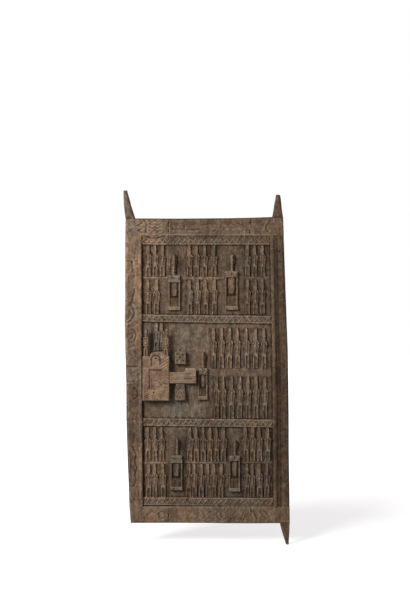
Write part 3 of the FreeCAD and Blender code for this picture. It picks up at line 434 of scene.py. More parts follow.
# How deep and how wide each kind of mark is cut; the left stile's are deeper by the share given.
cuts = {"sign": (0.0031, 0.82), "faintSign": (0.55, 0.62), "stileShare": 0.5, "seamDash": (0.0050, 0.60),
        "crack": (0.0018, 0.26), "dent": 0.0060}
rails = [
    ((235.4, 235.6), (244.6, 244.8)), ((314.4, 316.0), (321.8, 323.8)), ((418.4, 419.8), (426.1, 427.7)),
    ((497.4, 498.3), (505.4, 506.6)),
]
zigzag = {"period": 5.2, "swing": 1.9, "ridge": 0.0014, "pit": 0.0019, "lineWidth": 1.0}
ledges = [
    ((143, 168), 277.6), ((181, 224), 278.0), ((239, 270), 277.4), ((143, 168), 463.0), ((184, 228), 462.6),
    ((241, 273), 462.4),
]
# Each row of ancestors: its name, head and foot lines, and the figures' places.
figureRows = [
    ("rowOverUpperLedge", 245.2, 276.0,
        (148.0, 155.3, 162.4, 189.5, 196.8, 204.8, 214.0, 247.6, 254.8, 263.3)),
    ("rowUnderUpperLedge", 279.3, 313.9, (148.3, 156.3, 190.0, 198.0, 206.0, 214.4, 247.8, 255.6, 262.8)),
    ("rowBesideLock", 328.0, 368.0, (213.8, 221.5, 229.4, 237.8, 247.3, 255.4, 264.0)),
    ("rowOverLowerRail", 376.5, 418.4, (216.5, 223.4, 231.4, 239.7, 248.3, 256.0, 265.0)),
    ("rowBehindLock", 323.0, 350.5, (156.4, 162.0)),
    ("rowOverLowerLedge", 427.6, 461.2,
        (148.1, 155.0, 162.0, 189.6, 196.6, 203.5, 209.8, 217.0, 223.5, 246.3, 252.8, 260.0, 267.8)),
    ("rowUnderLowerLedge", 464.0, 497.4,
        (148.5, 155.1, 163.5, 188.7, 194.7, 201.3, 208.6, 214.0, 221.0, 247.0, 252.5, 260.0, 267.0)),
]
# How light the wood is, down or along each part of the door, and how brown rather than grey; two of the
# tones are painted shade, one in the gaps round the rows of ancestors and one along the door's top edge.
tones = {
    "leftStile": [(218, 0.50), (300, 0.52), (360, 0.42), (430, 0.28), (520, 0.34)],
    "lintel": [(125, 0.45), (165, 0.41), (190, 0.35), (285, 0.31)], "sill": [(130, 0.40), (285, 0.34)],
    "post": [(218, 0.28), (250, 0.08), (500, 0.09), (520, 0.28)],
    "rail": [(143, 0.29), (272, 0.27)],
    "panel": [(245, 0.24), (314, 0.24), (330, 0.28), (410, 0.25), (430, 0.19), (497, 0.17)],
    "plainPanel": 0.14, "shadeAndDirtBetweenFigures": 0.06, "topEdge": 0.16, "back": 0.36,
}
warmths = {"border": 0.72, "panel": 0.42, "plainPanel": 0.20, "rail": 0.35, "post": 0.85, "back": 0.45}
# Stains, rubbed places and painted shadows: where, how far across and down, how much lighter and how much
# browner.
# The painted shadows lie round and right of the seated heads, right of the lock case, along the stile's
# edge beside the lock and in the groove beside the post.
stainColumns = {"lighter": 4, "browner": 5}
stainsAndShadows = [
    (132, 230, 6, 7, 0.1, -0.7), (150, 241, 11, 5, 0.06, 0.6), (262, 241, 12, 5, -0.04, 0.5),
    (274, 227, 8, 8, 0.02, 0.25), (223.5, 358, 6, 11, -0.02, 0.6), (209, 336, 6, 9, 0, -0.35),
    (205, 318, 32, 4, 0, -0.4), (205, 423, 28, 4, -0.05, -0.45), (173.5, 263, 6, 11, -0.05, 0.5),
    (231, 263, 6, 9, -0.05, 0.45), (202, 360, 6, 9, -0.07, 0.15), (176, 446, 6, 9, -0.04, 0.45),
    (234, 448, 6, 8, -0.04, 0.4), (180, 264, 3, 9, -0.24, -0.1), (236.5, 263, 3, 8, -0.05, -0.1),
    (208, 360, 3, 8, -0.06, -0.1), (183, 446, 3, 9, -0.24, 0), (238.5, 448, 3, 8, -0.04, 0),
    (196, 408, 16, 9, -0.06, -0.3), (155, 340, 8, 11, -0.14, -0.1), (172, 340, 3.5, 16, -0.05, 0.3),
    (180, 370.6, 6, 1.6, 0.16, 0), (130, 262, 5, 14, 0.06, 0.1), (132, 432, 7, 20, -0.05, 0.1),
    (272, 255, 4, 16, -0.08, 0.4), (277, 290, 3, 50, -0.12, 0.1), (286.5, 350, 3, 45, 0.1, 0.2),
    (278.5, 203, 7, 12, -0.12, 0.2), (127, 203, 7, 13, -0.03, -0.45), (286.5, 537, 5, 9, 0.14, 0),
    (272, 370, 3, 70, -0.03, 0.4), (278, 440, 3, 60, -0.04, 0.1), (215, 250, 40, 8, -0.04, 0.2),
    (150, 408, 9, 7, -0.02, 0), (172, 470, 30, 12, -0.02, 0.2), (143, 372, 1.6, 130, -0.12, 0.2),
    (154, 276, 13, 34, 0.24, 0.15), (154, 468, 13, 32, 0.34, 0.22), (200, 284, 12, 18, 0.24, 0.12),
    (190, 386, 6, 7, 0.24, 0.08), (131, 308, 6, 22, -0.14, -0.65), (131, 360, 6, 22, -0.03, -0.6),
    (279, 392, 6, 40, -0.2, 0.1), (230, 350, 22, 34, 0.12, 0.1), (266, 360, 9, 30, 0, -0.25),
    (198, 462, 12, 16, 0.18, 0), (160, 412, 22, 8, -0.03, -0.8), (131, 466, 6, 28, -0.17, -0.15),
    (206, 219, 52, 8, -0.16, 0.12), (204, 236, 14, 5, -0.2, 0), (243, 520, 17, 5, -0.13, 0.05),
    (150, 520, 14, 5, -0.12, 0.05), (191, 250, 9, 8, 0.2, 0.1), (208, 520, 8, 5, 0.12, 0.05),
    (180, 430, 16, 6, 0.14, 0.15), (150, 384, 6, 8, -0.14, -0.05), (256, 448, 16, 44, 0.1, 0.05),
    (252, 346, 9, 34, 0.1, 0), (279, 444, 6, 24, -0.12, 0), (196, 408, 8, 8, 0.12, -0.15),
    (216, 284, 8, 9, 0.12, 0), (168.5, 264, 2.5, 9, 0.22, 0.3), (172, 446, 3, 9, 0.12, 0.2),
    (230, 447, 3, 9, -0.16, -0.3), (141, 408, 1.5, 100, -0.1, 0), (206, 468, 18, 11, 0.16, 0),
    (240, 330, 34, 7, 0.1, 0), (136, 267, 3, 6, 0.07, 0.15), (139.4, 285, 1.4, 3.5, 0.1, 0.6),
    (140.1, 455, 1, 34, 0.4, -0.9), (140.2, 390, 1, 22, 0.24, -0.7),
]


def wave(x0, x1, middle, swing, turns, steps=7):  # a wavy gouge line along the lintel or sill
    count = turns * steps
    return [(x0 + (x1 - x0) * step / count,
             middle + swing * math.sin(2 * math.pi * turns * step / count)) for step in range(count + 1)]


def latticeLines(x0, y0, x1, y1, spacing):  # crossed slanting gouges that fill a small panel
    lines = []
    height = y1 - y0
    start = x0 - height
    while start < x1:
        for slant in (1, -1):
            low, high = (start, y0 if slant > 0 else y1), (start + height, y1 if slant > 0 else y0)
            first, last = max(0.0, (x0 - start) / height), min(1.0, (x1 - start) / height)
            if last > first:
                lines.append([(low[0] + height * t, low[1] + (high[1] - low[1]) * t)
                              for t in (first, last)])
        start += spacing
    return lines


def rhombus(x, y, halfX, halfY):
    return [(x - halfX, y), (x, y - halfY), (x + halfX, y), (x, y + halfY), (x - halfX, y)]


def arc(x, y, radiusX, radiusY, start, end, steps=8):
    return [(x + radiusX * math.cos(math.radians(start + (end - start) * step / steps)),
             y + radiusY * math.sin(math.radians(start + (end - start) * step / steps)))
            for step in range(steps + 1)]


# The gouged signs of the border: lattice panels, lizards, snakes, rhombs and chevrons.
signs = [
    *[[(149.6 + 2.7 * step, down + 1.7 * (step % 2)) for step in range(5)] for down in (220.4, 223.6, 226.8,
        230.0)],
    rhombus(259.2, 227.0, 4.2, 5.0), rhombus(259.2, 227.0, 1.9, 2.4),
    [(143.6, 219.2), (146.6, 224.5), (146.2, 229.5), (145.2, 235)], arc(155, 230.5, 13, 7.6, 35, 145, 10),
    [(142.5, 223), (137.5, 225.3), (142.5, 227.2)], [(142.5, 228.6), (138.2, 230.6), (142.5, 232.6)],
    [(171, 229.2), (184.2, 229.0)], [(184.4, 225.4), (184.5, 229.4)], [(186.0, 229.8), (199.6, 229.4)],
    [(272.2, 218.6), (265.8, 226.9), (269.2, 233.4)], [(266.8, 219.4), (263.4, 225)],
    arc(162, 515, 3.2, 3.4, 0, 360, 12), latticeLines(145, 512, 156, 518.6, 3.2)[3],
    [(241, 519), (245, 510.5), (249, 519), (253, 510.5), (257, 519)],
    [(243, 521), (245.5, 515), (248, 521)], [(260, 512), (266, 519)], [(264, 511), (270, 518)],
    [(132.2, 262), (132.5, 272)], [(127.6, 366.5), (136.4, 366.5)],
    [(134.5, 289), (133.4, 295), (132.3, 300), (130.9, 305), (133.2, 309), (134.3, 313), (132.8, 318),
        (130.4, 320.5), (128, 322.5)],
    arc(132, 335.5, 3.8, 6.0, -90, 60), arc(133.2, 393.5, 4.4, 5.6, -80, 80),
    [(132.3, 446.6), (136.0, 454.5), (134.7, 462), (137.0, 467.5), (135.2, 476), (135.8, 483),
        (132.4, 486.8), (129.4, 485)],
]
faintSigns = [
    *latticeLines(143, 511, 157, 519, 3.4), *latticeLines(262, 219, 273, 224, 3.0),
    arc(155, 228, 10.5, 7.6, 25, 155, 10), [(171, 224.2), (183.4, 223.6)], [(187.6, 224.6), (198.6, 224.0)],
    [(126.8, 219.8), (134, 225.0)], [(128.8, 219.4), (136, 224.0)], [(126.6, 222.4), (131.5, 226)],
    wave(170, 203, 233.2, 0.7, 3), wave(205, 246, 230.6, 1.1, 6), wave(204, 247, 224.2, 1.0, 6),
    wave(208, 240, 227.4, 0.8, 4), wave(186, 238, 513.8, 2.2, 6), wave(188, 236, 518.2, 1.0, 8),
    [(135.8, 247), (135.6, 252), (134.4, 258.5)], [(126, 261), (138, 260.8)], [(127.4, 272.6), (139, 272)],
    [(128.4, 277), (129.6, 284)], [(129.6, 311), (128.6, 318), (125.8, 322)],
    arc(131.5, 335, 1.6, 3.0, -90, 90), arc(132.5, 354, 4.0, 4.4, -60, 110),
    [(139.6, 370), (130.5, 374), (139.5, 378.4)], [(126, 381.6), (134.5, 381.2)],
    [(126, 385), (133.5, 384.8)], [(126.8, 407), (132.5, 402)], [(126.8, 404), (131, 400.6)],
    [(134.2, 436), (134.2, 443)], [(138, 413), (136, 419), (138.6, 425)], [(131, 492), (134.5, 500)],
    [(138.4, 490), (138.3, 500)], [(127.4, 326.6), (131, 326.6)], [(127.6, 342), (135, 341.6)],
    [(128.6, 348), (134, 345.6)], [(129.5, 450), (131.2, 462), (130.2, 474)],
]
seamDashes = [
    [(168.2, 222.6), (168.3, 226.2)], [(168.5, 229.2), (168.6, 232.0)], [(250.6, 220.0), (250.4, 223.8)],
    [(249.9, 230), (249.8, 233.4)], [(168.7, 514), (168.7, 517)], [(251, 509), (251, 512)],
]
dents = [
    (180.2, 350.4, 0.75), (131.5, 262.0, 0.8), (279.8, 251.5, 0.9), (280.4, 262.0, 0.7),
    (133.0, 419.5, 0.8),
]
cracks = [
    [(212, 336), (212.6, 365)], [(190, 404), (191, 416)], [(206, 388), (206.6, 412)],
    [(283, 250), (284, 330), (284.6, 372)], [(282.4, 392), (283.6, 470)], [(152, 323), (152.5, 350)],
    [(131, 500), (132, 522)], [(225, 507), (226, 522)], [(281, 300), (281.6, 352)],
    [(286, 420), (286.5, 505)],
]


def rimShare(p, q):  # the two upright rims that frame the panels
    bumps = 0.35 * valueNoise(acrossAt(p) * millimetres, upAt(q) * millimetres, 60, 14, 11)
    names = ("rimOuterLeft", "rimInnerLeft", "rimInnerRight", "rimOuterRight")
    edges = {name: along(door[name], q) for name in names}
    left = band(p, edges["rimOuterLeft"] + bumps * 0.4, edges["rimInnerLeft"] + bumps, 0.7)
    right = band(p, edges["rimInnerRight"] + bumps, edges["rimOuterRight"] + bumps * 0.4, 0.7)
    return np.maximum(left, right) * band(q, door["lintelFoot"] - 1.5, door["sillTop"] + 0.6, 0.6)


def carvedDepth(p, q):  # depth of the carved front from the back plane at each place of the door
    x, z = acrossAt(p) * millimetres, upAt(q) * millimetres
    names = ("rimInnerLeft", "rimInnerRight", "rimOuterRight", "postSide", "rightEdge")
    innerLeft, innerRight, outerRight, postSide, edge = (along(door[name], q) for name in names)
    foot, sill = door["lintelFoot"], door["sillTop"]
    depth = door["border"] + 0.0008 * valueNoise(x, z, 26, 34, 3) + 0.0007 * valueNoise(x, z, 9, 13, 4)
    ground = door["ground"] + 0.0012 * valueNoise(x, z, 22, 34, 5) + 0.0009 * valueNoise(x, z, 8, 14, 6)
    rough = 0.0005 * valueNoise(x, z, 4.2, 6.5, 15)
    depth = blend(depth, ground, band(p, innerLeft, innerRight, 0.6) * band(q, foot, sill, 0.6))
    for (topLeft, topRight), (footLeft, footRight) in rails:
        share = (p - door["panelLeft"]) / (door["panelRight"] - door["panelLeft"])
        top = topLeft + (topRight - topLeft) * share
        bottom = footLeft + (footRight - footLeft) * share
        wobble = 0.25 * valueNoise(x, z, 30, 400, 7)
        mask = band(q, top + wobble, bottom + wobble, 0.55)
        mask = mask * band(p, innerLeft - 0.3, innerRight + 0.3, 0.5)
        middle = (np.maximum(top, 237) + bottom) / 2 + wobble
        turn = ((p - door["panelLeft"]) / zigzag["period"] + 0.25 * valueNoise(x, z, 60, 60, 8)) % 1.0 - 0.5
        swing = zigzag["swing"] * (1 + 0.25 * valueNoise(x, z, 45, 200, 17))
        offset = q - middle - swing * (np.abs(turn) * 4 - 1)
        ridge = bell(offset, zigzag["lineWidth"]) * (1 - 0.55 * smoothStep(-0.1, 0.1, turn))
        pits = band(np.abs(offset), 1.3, 3.4, 0.9) * band(q, top + 1.1, bottom - 1.1, 0.8)
        level = door["rail"] + zigzag["ridge"] * ridge - zigzag["pit"] * pits
        depth = blend(depth, level + 0.0005 * valueNoise(x, z, 10, 10, 9), mask)
    for (left, right), height in ledges:
        lift = 0.3 * valueNoise(x, z, 40, 400, 10)
        mask = band(q, height - 1.2 + lift, height + 1.2 + lift, 1.5) * band(p, left, right, 2.0)
        depth = blend(depth, door["ledge"], mask)
    rims = rimShare(p, q)
    depth = blend(depth, door["rim"] + 0.0013 * valueNoise(x, z, 40, 11, 12), rims)
    ridge = band(q, foot - 1.9, foot + 0.2, 1.4) * band(p, 139, 279, 1.5)
    depth = depth + 0.0006 * ridge * (1 - rims)
    groove = band(p, outerRight + 0.4, postSide + 1.0, 2.6) * band(q, foot - 0.3, sill + 0.4, 0.9)
    depth = blend(depth, door["groove"], groove)
    share = np.clip((p - postSide) / np.maximum(edge - postSide, 1.0), 0.0, 1.0)
    rounded = door["post"] - door["postRound"] * np.abs(2 * share - 1.0) ** 2.6
    rounded = rounded + 0.0010 * valueNoise(x, z, 12, 60, 13)
    postMask = smoothStep(-0.6, 1.8, p - postSide) * band(q, foot - 0.3, sill + 0.8, 1.6)
    depth = blend(depth, rounded, postMask)
    faintShare, faintWidth = cuts["faintSign"]
    strokes = np.maximum(deepest(p, q, signs, cuts["sign"][1]),
                         faintShare * deepest(p, q, faintSigns, faintWidth))
    depth -= cuts["sign"][0] * strokes * (1 + cuts["stileShare"] * smoothStep(141, 139, p)) - rough
    for lines, (cut, width) in ((seamDashes, cuts["seamDash"]), (cracks, cuts["crack"])):
        for line in lines:
            depth -= cut * strokeDepth(p, q, line, width)
    for x0, y0, size in dents:
        depth -= cuts["dent"] * spot(p, q, x0, y0, size, 4)
    seam = np.minimum(np.abs(p - door["leftSeam"]), np.abs(p - door["rightSeam"]))
    depth -= 0.0002 * (1 - smoothStep(0.0, 0.5, seam))
    edgeGap = np.minimum(np.minimum(p - along(door["leftEdge"], q), edge - p),
                         np.minimum(q - along(door["topEdge"], p), along(door["bottomEdge"], p) - q))
    worn = 0.35 * valueNoise(x, z, 50, 50, 14)
    depth -= door["edgeWear"] * (1 - smoothStep(0.0, 1.9 + worn, edgeGap)) ** 1.6
    return np.minimum(depth, door["highest"])


def partsOf(p, q):  # which part of the door each place lies on, as shares
    plain = band(p, *door["plainAcross"], 6) * band(q, *door["plainDown"], 6)
    rail = np.zeros_like(p)
    for (top, _), (bottom, _) in rails:
        rail = np.maximum(rail, band(q, top, bottom + 0.8, 1.0))
    stile, post = 1 - smoothStep(*door["stileEnd"], p), smoothStep(*door["postStart"], p)
    lintel, sill = 1 - smoothStep(*door["lintelEnd"], q), smoothStep(*door["sillStart"], q)
    return plain, {"rail": rail, "leftStile": stile, "post": post, "lintel": lintel, "sill": sill}


def shadeAndDirtBetweenFigures(p, q):  # painted shade and dirt in the gaps round the rows of ancestors
    dirt = np.zeros_like(p)
    for _, head, foot, places in figureRows:
        beside = np.zeros_like(p)
        for place in places:
            beside = np.maximum(beside, np.exp(-(np.abs(p - place) / 5.2) ** 4))
        dirt = np.maximum(dirt, beside * band(q, head, foot, 2.0))
    return dirt


def stainedAndShaded(value, p, q, column):  # adds what the column of the stains and painted shadows says
    for stain in stainsAndShadows:
        x, y, wide, high = stain[:4]
        value = value + stain[column] * np.exp(-((p - x) / wide) ** 2 - ((q - y) / high) ** 2)
    return value


def toneAt(p, q):  # how light the wood is at each place
    plain, masks = partsOf(p, q)
    tone = along(tones["panel"], q) + tones["plainPanel"] * plain
    # The gaps round the figures are darkened: painted shade and dirt.
    tone = tone - tones["shadeAndDirtBetweenFigures"] * shadeAndDirtBetweenFigures(p, q)
    for part, mask in masks.items():
        tone = blend(tone, along(tones[part], q if part in ("leftStile", "post") else p), mask)
    # A darker band along the door's top edge: painted shade on its bevel.
    tone = tone - tones["topEdge"] * band(q - along(door["topEdge"], p), -0.4, 1.5, 0.8)
    return stainedAndShaded(tone, p, q, stainColumns["lighter"])


def warmthAt(p, q):  # how brown rather than grey the wood is at each place
    plain, masks = partsOf(p, q)
    warmth = blend(warmths["panel"], warmths["plainPanel"], plain)
    for part, mask in masks.items():
        warmth = blend(warmth, warmths.get(part, warmths["border"]), mask)
    return stainedAndShaded(warmth, p, q, stainColumns["browner"])


# Ridges stand above what is round them and are rubbed light; recesses lie below it and get painted shade.
ridgeWearAndRecessShade = {"plain": 0.46, "gain": 140.0, "recessShade": -0.38, "ridge": 0.24}


def localWearAndShade(depth, columns, rows, reach=3):
    grid = depth.reshape(rows, columns)
    padded = np.pad(grid, reach, mode="edge")
    total = np.zeros_like(grid)
    for dy in range(-reach, reach + 1):
        for dx in range(-reach, reach + 1):
            total += padded[reach + dy:reach + dy + rows, reach + dx:reach + dx + columns]
    height = (grid - total / (2 * reach + 1) ** 2) * ridgeWearAndRecessShade["gain"]
    return (ridgeWearAndRecessShade["plain"] + np.clip(height, ridgeWearAndRecessShade["recessShade"], ridgeWearAndRecessShade["ridge"])).reshape(-1)


# A board as a unit block: a fine front grid, a coarse back grid and walls between them.
def unitBoard(columns, rows, every, steps):
    bm = bmesh.new()
    bmesh.ops.create_grid(bm, x_segments=columns, y_segments=rows, size=0.5)
    back = bmesh.ops.create_grid(bm, x_segments=columns // every, y_segments=rows // every, size=0.5,
                                 matrix=Matrix.Translation((0, 0, -1)))["verts"]
    bmesh.ops.reverse_faces(bm, faces=list({face for vert in back for face in vert.link_faces}))
    if every > 1:
        rim = [edge for edge in bm.edges if edge.is_boundary and edge.verts[0].co.z < -0.5]
        bmesh.ops.subdivide_edges(bm, edges=rim, cuts=every - 1)
    walls = bmesh.ops.bridge_loops(bm, edges=[edge for edge in bm.edges if edge.is_boundary])
    across = [edge for edge in walls["edges"] if abs(edge.verts[0].co.z - edge.verts[1].co.z) > 0.5]
    bmesh.ops.subdivide_edges(bm, edges=across, cuts=steps - 1, use_grid_fill=True)
    co = np.array([vert.co[:] for vert in bm.verts])
    return bm, co[:, 0] + 0.5, 0.5 - co[:, 1], -co[:, 2]


# Each point's wear value carries real rubbing and also painted light: low values paint shade, high ones in
# places paint highlights.
def placePoints(bm, x, y, z, wearAndShade, tone=0.3, warmth=0.5):
    wearAndShadeLayer = bm.verts.layers.float.new("wearAndShade")
    toneLayer = bm.verts.layers.float.new("tone")
    warmthLayer = bm.verts.layers.float.new("warmth")
    values = (np.clip(value + np.zeros_like(x), 0, 1) for value in (wearAndShade, tone, warmth))
    for vert, a, b, c, rub, light, brown in zip(bm.verts, x, y, z, *values):
        vert.co = (a, b, c)
        vert[wearAndShadeLayer], vert[toneLayer], vert[warmthLayer] = rub, light, brown


def plank(left, right):
    every = door["backEvery"]
    columns = int(round((acrossAt(right(400)) - acrossAt(left(400))) / door["cell"] / every)) * every
    leafTop, leafHeight = door["leafTop"], door["leafFoot"] - door["leafTop"]
    rows = int(round(leafHeight * pixel / door["cell"] / every)) * every
    bm, u, v, w = unitBoard(columns, rows, every, door["sideSteps"])
    q = leafTop + v * leafHeight
    for _ in range(2):
        p = left(q) + u * (right(q) - left(q))
        q = along(door["topEdge"], p) + v * (along(door["bottomEdge"], p) - along(door["topEdge"], p))
    depth = carvedDepth(p, q)
    wearAndShade = np.full(len(p), 0.42)
    count = (columns + 1) * (rows + 1)
    wearAndShade[:count] = localWearAndShade(depth[:count], columns + 1, rows + 1)
    rims = rimShare(p, q)
    # The gaps round the figures get lower wear values: painted shade and dirt there.
    wearAndShade = wearAndShade * (1 - 0.8 * rims) + 0.8 * 0.48 * rims - 0.26 * shadeAndDirtBetweenFigures(p, q) * (1 - w)
    x, z = acrossAt(p), upAt(q)
    edge = np.minimum(np.minimum(u, 1 - u) * (right(q) - left(q)), np.minimum(v, 1 - v) * leafHeight)
    hollow = 0.0007 + 0.0006 * valueNoise(x * millimetres, z * millimetres, 24, 60, 21)
    hollow = hollow * smoothStep(0.0, 3.0, edge)
    y = backPlane - depth * (1 - w) - np.where(w > 0.99, hollow, 0.0)
    placePoints(bm, x, y, z, wearAndShade)
    return bm


# Draw a horn out of the board's end wall: extrude, taper and round it along a path of sections,
# each a centre across, its depth, a height, two half sizes and how round it is.
def growHorn(bm, centre, halfWidth, top, path):
    sign = 1 if top else -1
    end = max(sign * vert.co.z for vert in bm.verts)
    bm.normal_update()
    faces = []
    for face in bm.faces:
        middle = face.calc_center_median()
        if (abs(middle.x - acrossAt(centre)) < halfWidth * pixel
                and sign * face.normal.z > 0.7 and sign * middle.z > end - 0.012):
            faces.append(face)
    ring = {vert for face in faces for vert in face.verts}
    lows = [min(vert.co[axis] for vert in ring) for axis in (0, 1)]
    highs = [max(vert.co[axis] for vert in ring) for axis in (0, 1)]
    root = {vert.co[:]: [2 * (vert.co[axis] - lows[axis]) / (highs[axis] - lows[axis]) - 1
                         for axis in (0, 1)] for vert in ring}
    for across, depth, height, halfX, halfY, roundness in path:
        made = bmesh.ops.extrude_face_region(bm, geom=faces)["geom"]
        left = [face for face in faces if face.is_valid]
        if left:
            bmesh.ops.delete(bm, geom=left, context="FACES")
        faces = [item for item in made if isinstance(item, bmesh.types.BMFace)]
        step = {}
        for vert in [item for item in made if isinstance(item, bmesh.types.BMVert)]:
            s, t = root[vert.co[:]]
            rs = s * (1 - roundness + roundness * math.sqrt(1 - t * t / 2))
            if top and s > 0:
                rs *= 1 - 0.14 * (1 - t)
            rt = t * (1 - roundness + roundness * math.sqrt(1 - s * s / 2))
            wobble = 0.0006 * math.sin(height * 0.4 + s * 2 + t * 3)
            vert.co = (acrossAt(across) + halfX * pixel * rs + wobble,
                       backPlane - depth + halfY * rt, upAt(height))
            step[vert.co[:]] = (s, t)
        root = step


def pixelLine(place):
    return lambda q: np.full_like(q, place) if isinstance(q, np.ndarray) else place


leftOf, rightOf = (lambda q: along(door["leftEdge"], q)), (lambda q: along(door["rightEdge"], q))
halfGap = door["seamGap"] / 2
hornPaths = {
    "free": [(129.8, 0.020, 216.4, 5.0, 0.0185, 0.35), (128.9, 0.018, 211.8, 4.6, 0.0170, 0.6),
              (127.6, 0.018, 205.6, 3.9, 0.0150, 0.75), (126.4, 0.018, 199.0, 3.2, 0.0120, 0.85),
              (125.6, 0.018, 193.4, 2.5, 0.0090, 0.9), (125.3, 0.018, 190.8, 2.1, 0.0072, 0.9),
              (125.3, 0.018, 190.0, 1.6, 0.0050, 0.9)],
    "upper": [(278.2, 0.020, 215.4, 5.5, 0.0190, 0.35), (278.3, 0.018, 211.0, 4.9, 0.0172, 0.6),
              (278.4, 0.018, 205.0, 3.9, 0.0145, 0.8), (278.5, 0.018, 198.6, 3.0, 0.0110, 0.9),
              (278.5, 0.018, 195.2, 2.5, 0.0085, 0.9), (278.5, 0.018, 194.3, 1.9, 0.0060, 0.9)],
    "lower": [(285.2, 0.020, 525.4, 4.8, 0.0190, 0.35), (285.7, 0.018, 530.0, 4.1, 0.0165, 0.6),
              (286.5, 0.018, 536.0, 3.0, 0.0130, 0.8), (287.2, 0.018, 541.5, 2.1, 0.0095, 0.9),
              (287.6, 0.018, 544.6, 1.6, 0.0072, 0.9), (287.7, 0.018, 545.4, 1.1, 0.0050, 0.9)],
}
leftSeam, rightSeam = door["leftSeam"], door["rightSeam"]
planks = {"left_plank": plank(leftOf, pixelLine(leftSeam - halfGap)),
          "middle_plank": plank(pixelLine(leftSeam + halfGap), pixelLine(rightSeam - halfGap)),
          "right_plank": plank(pixelLine(rightSeam + halfGap), rightOf)}
growHorn(planks["left_plank"], 130.4, 5.0, True, hornPaths["free"])
growHorn(planks["right_plank"], 278.0, 5.4, True, hornPaths["upper"])
growHorn(planks["right_plank"], 285.1, 4.8, False, hornPaths["lower"])
for name, bm in planks.items():
    bmesh.ops.recalc_face_normals(bm, faces=bm.faces)
    mesh = meshFrom(bm, name)
    co = points(mesh)
    across, down = pixelsOf(co)
    carved = smoothStep(backPlane - 0.006, backPlane - 0.018, co[:, 1])
    streaks = valueNoise(co[:, 0] * millimetres, co[:, 2] * millimetres, 60, 160, 31)
    paint(mesh, "tone", blend(tones["back"] + 0.05 * streaks, toneAt(across, down), carved))
    paint(mesh, "warmth", blend(warmths["back"], warmthAt(across, down), carved))
    print(name, len(mesh.polygons), "faces")
    finishPiece(mesh, name + ".carved", "door_leaf", woods["plankWood"], [name])
print("planks carved")

# The small standing ancestors in rows, each 160 mm tall before it is stretched to its row.

standing = {"height": 0.160, "relief": 0.0125, "hip": 0.050, "elbow": 0.094, "spread": 0.0084,
            "leg": 0.0038, "behind": 0.004, "front": -0.0095, "voxel": 0.0016, "variants": 8}


def standingFigure(seed):
    rng = np.random.default_rng(seed)

    def vary(value, share=0.08):
        return value * (1 + rng.uniform(-share, share))

    bm = bmesh.new()
    lean = rng.uniform(-0.0008, 0.0008)
    spread, leg = vary(standing["spread"], 0.05), vary(standing["leg"], 0.08)
    hip, elbowUp = vary(standing["hip"], 0.06), vary(standing["elbow"], 0.04)
    back, front = standing["behind"], standing["front"]
    block(bm, (-0.0112, front * 0.36, 0.0), (0.0105, back, hip))
    for side in (-1, 1):
        limb(bm, (side * spread, front * 0.4, -0.001), (side * spread * 0.94, front * 0.45, hip),
             leg, leg * 1.05, 1.3)
        block(bm, (side * spread - leg, front * 0.95, 0.0), (side * spread + leg, back, 0.0050))
        elbow = vary(0.0126, 0.04)
        limb(bm, (side * 0.0100, front * 0.3, hip), (side * elbow, front * 0.4, elbowUp),
             0.0024, 0.0030, 1.2)
        limb(bm, (side * elbow, front * 0.45, elbowUp), (side * 0.0080, front * 0.5, elbowUp + 0.014),
             0.0034, 0.0034, 1.2)
        ball(bm, (side * elbow, front * 0.8, elbowUp + 0.003), (0.0038, 0.0040, 0.0040))
    ball(bm, (lean, front * 0.4, hip + 0.002), (0.0122, 0.0055, 0.0050))
    ridged(bm, ((lean - 0.001, hip - 0.006, 0.0102), (lean - 0.001, hip + 0.018, vary(0.0088)),
                (lean - 0.001, hip + 0.028, vary(0.0102)), (lean - 0.001, elbowUp + 0.004, vary(0.0096))),
           0.15, front * 0.92, back, 0.6)
    ridged(bm, ((lean - 0.001, elbowUp + 0.002, 0.0100), (lean - 0.001, elbowUp + 0.014, vary(0.0080))),
           0.2, front * 0.8, back, 0.6)
    wide, top = vary(0.0130, 0.08), vary(0.0108, 0.15)
    ridged(bm, ((lean - 0.0018, elbowUp + 0.012, wide * 0.78), (lean - 0.0018, elbowUp + 0.024, wide),
                (lean - 0.0018, 0.142, (wide + top) / 2), (lean - 0.0014, standing["height"], top * 0.84)),
           0.42, front, back, 0.52)
    block(bm, (lean + 0.0020, front * 1.20, elbowUp + 0.018),
          (lean + 0.0046, front * 0.5, elbowUp + vary(0.033)))
    return voxelForm(meshFrom(bm, "form"), standing["voxel"], 1)


def carvedFinish(mesh, relief, ground, seed):  # knife facets, then wear with painted shade on sides and low parts, and tone
    co = points(mesh)
    x, z = co[:, 0] * millimetres, co[:, 2] * millimetres
    share = np.clip((ground - co[:, 1]) / relief, 0.0, 1.0)
    co[:, 1] += 0.0006 * valueNoise(x, z, 4, 9, seed) * share
    co[:, 0] += 0.0005 * valueNoise(x + 31, z, 5, 7, seed + 1) * share
    mesh.vertices.foreach_set("co", co.reshape(-1))
    p, q = pixelsOf(co)
    # Fronts of the relief are rubbed light; sides turned away from the front and low parts get painted
    # shade.
    facing = smoothStep(0.15, 0.95, -frontNormals(mesh))
    crest = share * (0.25 + 0.40 * facing + 0.35 * facing ** 4)
    paint(mesh, "wearAndShade", 0.04 + 0.80 * crest + 0.12 * valueNoise(x, z, 7, 9, seed + 2))
    # The figures are lifted by as much as the painted shade takes from the gaps of their rows, and a little
    # more.
    lighter = tones["shadeAndDirtBetweenFigures"] + 0.05 + 0.07 * valueNoise(x, z, 34, 60, seed + 3)
    paint(mesh, "tone", toneAt(p, q) + lighter)
    paint(mesh, "warmth", warmthAt(p, q) + 0.22 * valueNoise(x, z, 40, 70, seed + 4))


